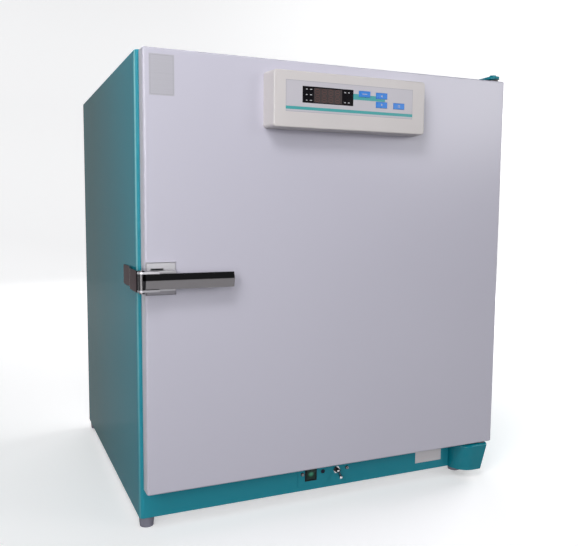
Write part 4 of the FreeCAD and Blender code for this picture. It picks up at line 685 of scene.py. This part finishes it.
# the bare labels: left and bottom in mm from the case's corner, then width, height and thickness
DOOR_LABEL = (13, 620, 36, 56, 0.15)
PLINTH_PLATE = (495.5, 14.5, 55.5, 23.5, 0.3)
LABEL_INSET, LABEL_LINE = 1.5 * MM, 0.4 * MM


def bare_label(name, lengths, back, finish, body, bend):
    """One foil label whose back lies on a face; gives the place of its front."""
    left, bottom, *size = lengths
    corner = spot(left, 0, bottom)
    wide, tall, thick = (length * MM for length in size)
    label = bmesh.new()
    add_slab(label, (corner.x, back - thick, corner.z), (corner.x + wide, back, corner.z + tall))
    finish_piece(label, name, finish, body, bend)
    return corner.x, corner.z, wide, tall, back - thick


def blank_plates():
    """The two bare foil labels: on the door's upper left and on the plinth's right."""
    left, low, wide, tall, face = bare_label(
        "blank_door_label", DOOR_LABEL, DOOR_LOW.y, DOOR_FOIL, "door", 0.05 * MM
    )
    border = bmesh.new()
    printed_frame(border, left, low, wide, tall, LABEL_INSET, LABEL_LINE, face)
    finish_piece(border, "blank_door_label_border", BORDER_GREY, "door")
    bare_label("blank_plinth_plate", PLINTH_PLATE, CASE_LOW.y, PLINTH_FOIL, "cabinet", 0.1 * MM)


# the crosses in the screw heads: how long each bar is, and how wide
CROSS_LONG, CROSS_WIDE = 3 * MM, 0.72 * MM


def cross_recess(name, places, back, body):
    """A dark cross of painted shade in each pan head, standing in for its recess; back turns it to face the
    rear.
    """
    cross = bmesh.new()
    for x, y, z in places:
        front = y if back else y - INK
        for wide, tall in ((CROSS_LONG, CROSS_WIDE), (CROSS_WIDE, CROSS_LONG)):
            add_slab(
                cross,
                (x - wide / 2, front, z - tall / 2),
                (x + wide / 2, front + INK, z + tall / 2),
            )
    finish_piece(cross, name, DARK_GAP, body)


# points of one head lie within this reach of each other, and its face is flat within this depth
HEAD_REACH = 8 * MM
HEAD_FLAT = 0.05 * MM


def head_places(name, back):
    """Where the screw heads of a node are: the middle of each loose cluster's outer face."""
    data = nodes[name].data
    outer = max(v.co.y for v in data.vertices) if back else min(v.co.y for v in data.vertices)
    found = []
    for vertex in data.vertices:
        if abs(vertex.co.y - outer) > HEAD_FLAT:
            continue
        for group in found:
            if (group[0] - vertex.co).length < HEAD_REACH:
                group.append(vertex.co.copy())
                break
        else:
            found.append([vertex.co.copy()])
    return [
        ((min(p.x for p in group) + max(p.x for p in group)) / 2, outer,
         (min(p.z for p in group) + max(p.z for p in group)) / 2)
        for group in found
    ]


def screw_recesses():
    """The crosses of painted shade in all screws."""
    for name, screws, back, body in (
        ("rear_screw_recesses", "rear_panel_screws", True, "cabinet"),
        ("liner_screw_recesses", "door_liner_screws", True, "door"),
        ("plate_screw_recesses", "control_plate_screws", False, "cabinet"),
    ):
        cross_recess(name, head_places(screws, back), back, body)


overlay_print()
display_print()
key_symbols()
blank_plates()
screw_recesses()


# ---- floor, lights and camera


# the floor's flat part, its upward sweep and its wall, which is cut off at a slope
FLOOR_RADIUS = 3.6
SWEEP_RADIUS = 1.4
SWEEP_STEPS = 12
WALL_TOP = 2.0
WALL_SLOPE = (0, -0.2, 1)
SKY_RADIUS = 14.0
GLOW_WHITE = (1, 1, 1, 1)


def studio_floor():
    """A round pale floor that sweeps up into a wall, and gives no bounce to what stands on it."""
    tent = bmesh.new()
    profile = [(0.0, 0.0), (FLOOR_RADIUS, 0.0)]
    for step in range(1, SWEEP_STEPS + 1):
        angle = math.radians(90) * step / SWEEP_STEPS
        reach = FLOOR_RADIUS + math.sin(angle) * SWEEP_RADIUS
        profile.append((reach, SWEEP_RADIUS * (1 - math.cos(angle))))
    profile.append((FLOOR_RADIUS + SWEEP_RADIUS, WALL_TOP * 2))
    corners = [tent.verts.new((reach, 0, height)) for reach, height in profile]
    edges = [tent.edges.new(pair) for pair in zip(corners, corners[1:])]
    bmesh.ops.spin(
        tent, geom=corners + edges, cent=(0, 0, 0), axis=(0, 0, 1), angle=math.tau, steps=96, use_merge=True
    )
    bmesh.ops.remove_doubles(tent, verts=tent.verts, dist=0.1 * MM)
    everything = list(tent.verts) + list(tent.edges) + list(tent.faces)
    bmesh.ops.bisect_plane(
        tent, geom=everything, plane_co=(0, 0, WALL_TOP), plane_no=WALL_SLOPE, clear_outer=True
    )
    bmesh.ops.recalc_face_normals(tent, faces=tent.faces)
    pale = Finish("pale_floor", (0.84, 0.84, 0.85), 0.65)
    pale.tint(pale.band(pale.noise(0.6, 2.0), 0.3, 0.7, 0, 0.1), (0.80, 0.80, 0.82))
    pale.set(Emission_Color=GLOW_WHITE, Emission_Strength=0.33)
    ground = made_object(tent, "studio_floor", pale)
    ground.data.polygons.foreach_set("use_smooth", [True] * len(ground.data.polygons))
    ground.visible_diffuse = False


def studio_sky():
    """A pale sky above the wall, seen by the camera only, and dim air all round."""
    dome = bmesh.new()
    bmesh.ops.create_uvsphere(dome, u_segments=64, v_segments=32, radius=SKY_RADIUS)
    haze = Finish("pale_sky", (0.02, 0.02, 0.02), 0.9)
    haze.set(Specular_IOR_Level=0.0, Emission_Color=GLOW_WHITE, Emission_Strength=0.44)
    haze.tint(haze.band(haze.noise(0.1, 1.0), 0.3, 0.7, 0, 0.1), (0.03, 0.03, 0.03))
    sky = made_object(dome, "studio_sky", haze)
    sky.visible_diffuse = sky.visible_glossy = sky.visible_transmission = sky.visible_shadow = False
    world = bpy.data.worlds.new("studio_air")
    world.use_nodes = True
    air = world.node_tree.nodes["Background"]
    air.inputs["Color"].default_value = (0.9, 0.95, 1.0, 1)
    air.inputs["Strength"].default_value = 0.06
    bpy.context.scene.world = world


# each lamp's name, place, the place that it points to, width, height and watts
LAMPS = (
    ("strip_softbox", (-1.48, -1.88, 0.60), (-0.32, -0.29, 0.40), 0.45, 1.1, 8.5),
    ("left_softbox", (-1.3, -1.3, 1.2), (-0.2, -0.24, 0.5), 0.6, 1.0, 8.6),
    ("close_softbox", (-0.5, -0.9, 1.3), (-0.25, -0.24, 0.6), 0.5, 0.3, 4.6),
    ("front_softbox", (-0.75, -3.2, 0.75), (0.1, -0.24, 0.3), 1.2, 1.2, 21),
    ("right_softbox", (1.75, -2.0, 1.13), (0.3, -0.24, 0.6), 0.8, 0.7, 11),
    ("overhead_softbox", (-0.4, -1.5, 3.2), (-0.4, -1.5, 0), 2.6, 1.4, 5),
    ("backdrop_left", (-1.2, 1.7, 2.8), (-0.9, 4.8, 0.6), 2.4, 0.8, 54),
    ("backdrop_right", (2.2, 1.4, 2.8), (3.6, 3.4, 0.6), 2.4, 0.8, 66),
    ("rear_softbox", (0.9, 2.6, 2.1), (0, 0.3, 0.4), 2.2, 1.6, 26),
    ("hinge_side_softbox", (2.9, 0.8, 1.3), (0.3, 0.0, 0.35), 1.4, 1.2, 48),
)


def area_light(name, place, target, width, height, power):
    """A softbox that the camera doesn't see."""
    data = bpy.data.lights.new(name, "AREA")
    data.shape = "RECTANGLE"
    data.size, data.size_y = width, height
    data.energy = power
    lamp = bpy.data.objects.new(name, data)
    lamp.location = place
    lamp.rotation_euler = (Vector(target) - Vector(place)).to_track_quat("-Z", "Y").to_euler()
    bpy.context.scene.collection.objects.link(lamp)
    lamp.visible_camera = False


# the camera as fitted to the photo's straight edges: place, turns in degrees, focal length and middle
CAMERA_PLACE = spot(-200.81, -931.55, 459.47)
CAMERA_DOWN, CAMERA_LEFT, CAMERA_ROLL = 5.33, 22.07, 0.18
FOCAL_PIXELS = 651.3
PICTURE_WIDTH = 578
SENSOR_MM = 36
PRINCIPAL_X = 250


def camera():
    """The photo's camera: its place, turn, focal length and sideways shift."""
    data = bpy.data.cameras.new("photo_camera")
    data.sensor_width = SENSOR_MM
    data.lens = FOCAL_PIXELS / PICTURE_WIDTH * SENSOR_MM
    data.shift_x = (PICTURE_WIDTH / 2 - PRINCIPAL_X) / PICTURE_WIDTH
    data.clip_start = 0.01
    view = bpy.data.objects.new("photo_camera", data)
    view.location = CAMERA_PLACE
    turn = Euler((math.radians(90 - CAMERA_DOWN), 0, math.radians(-CAMERA_LEFT))).to_matrix().to_4x4()
    view.rotation_euler = (turn @ Matrix.Rotation(math.radians(CAMERA_ROLL), 4, "Z")).to_euler()
    bpy.context.scene.collection.objects.link(view)
    bpy.context.scene.camera = view


studio_floor()
studio_sky()
for lamp_values in LAMPS:
    area_light(*lamp_values)
camera()
bpy.context.scene.view_settings.view_transform = "Standard"
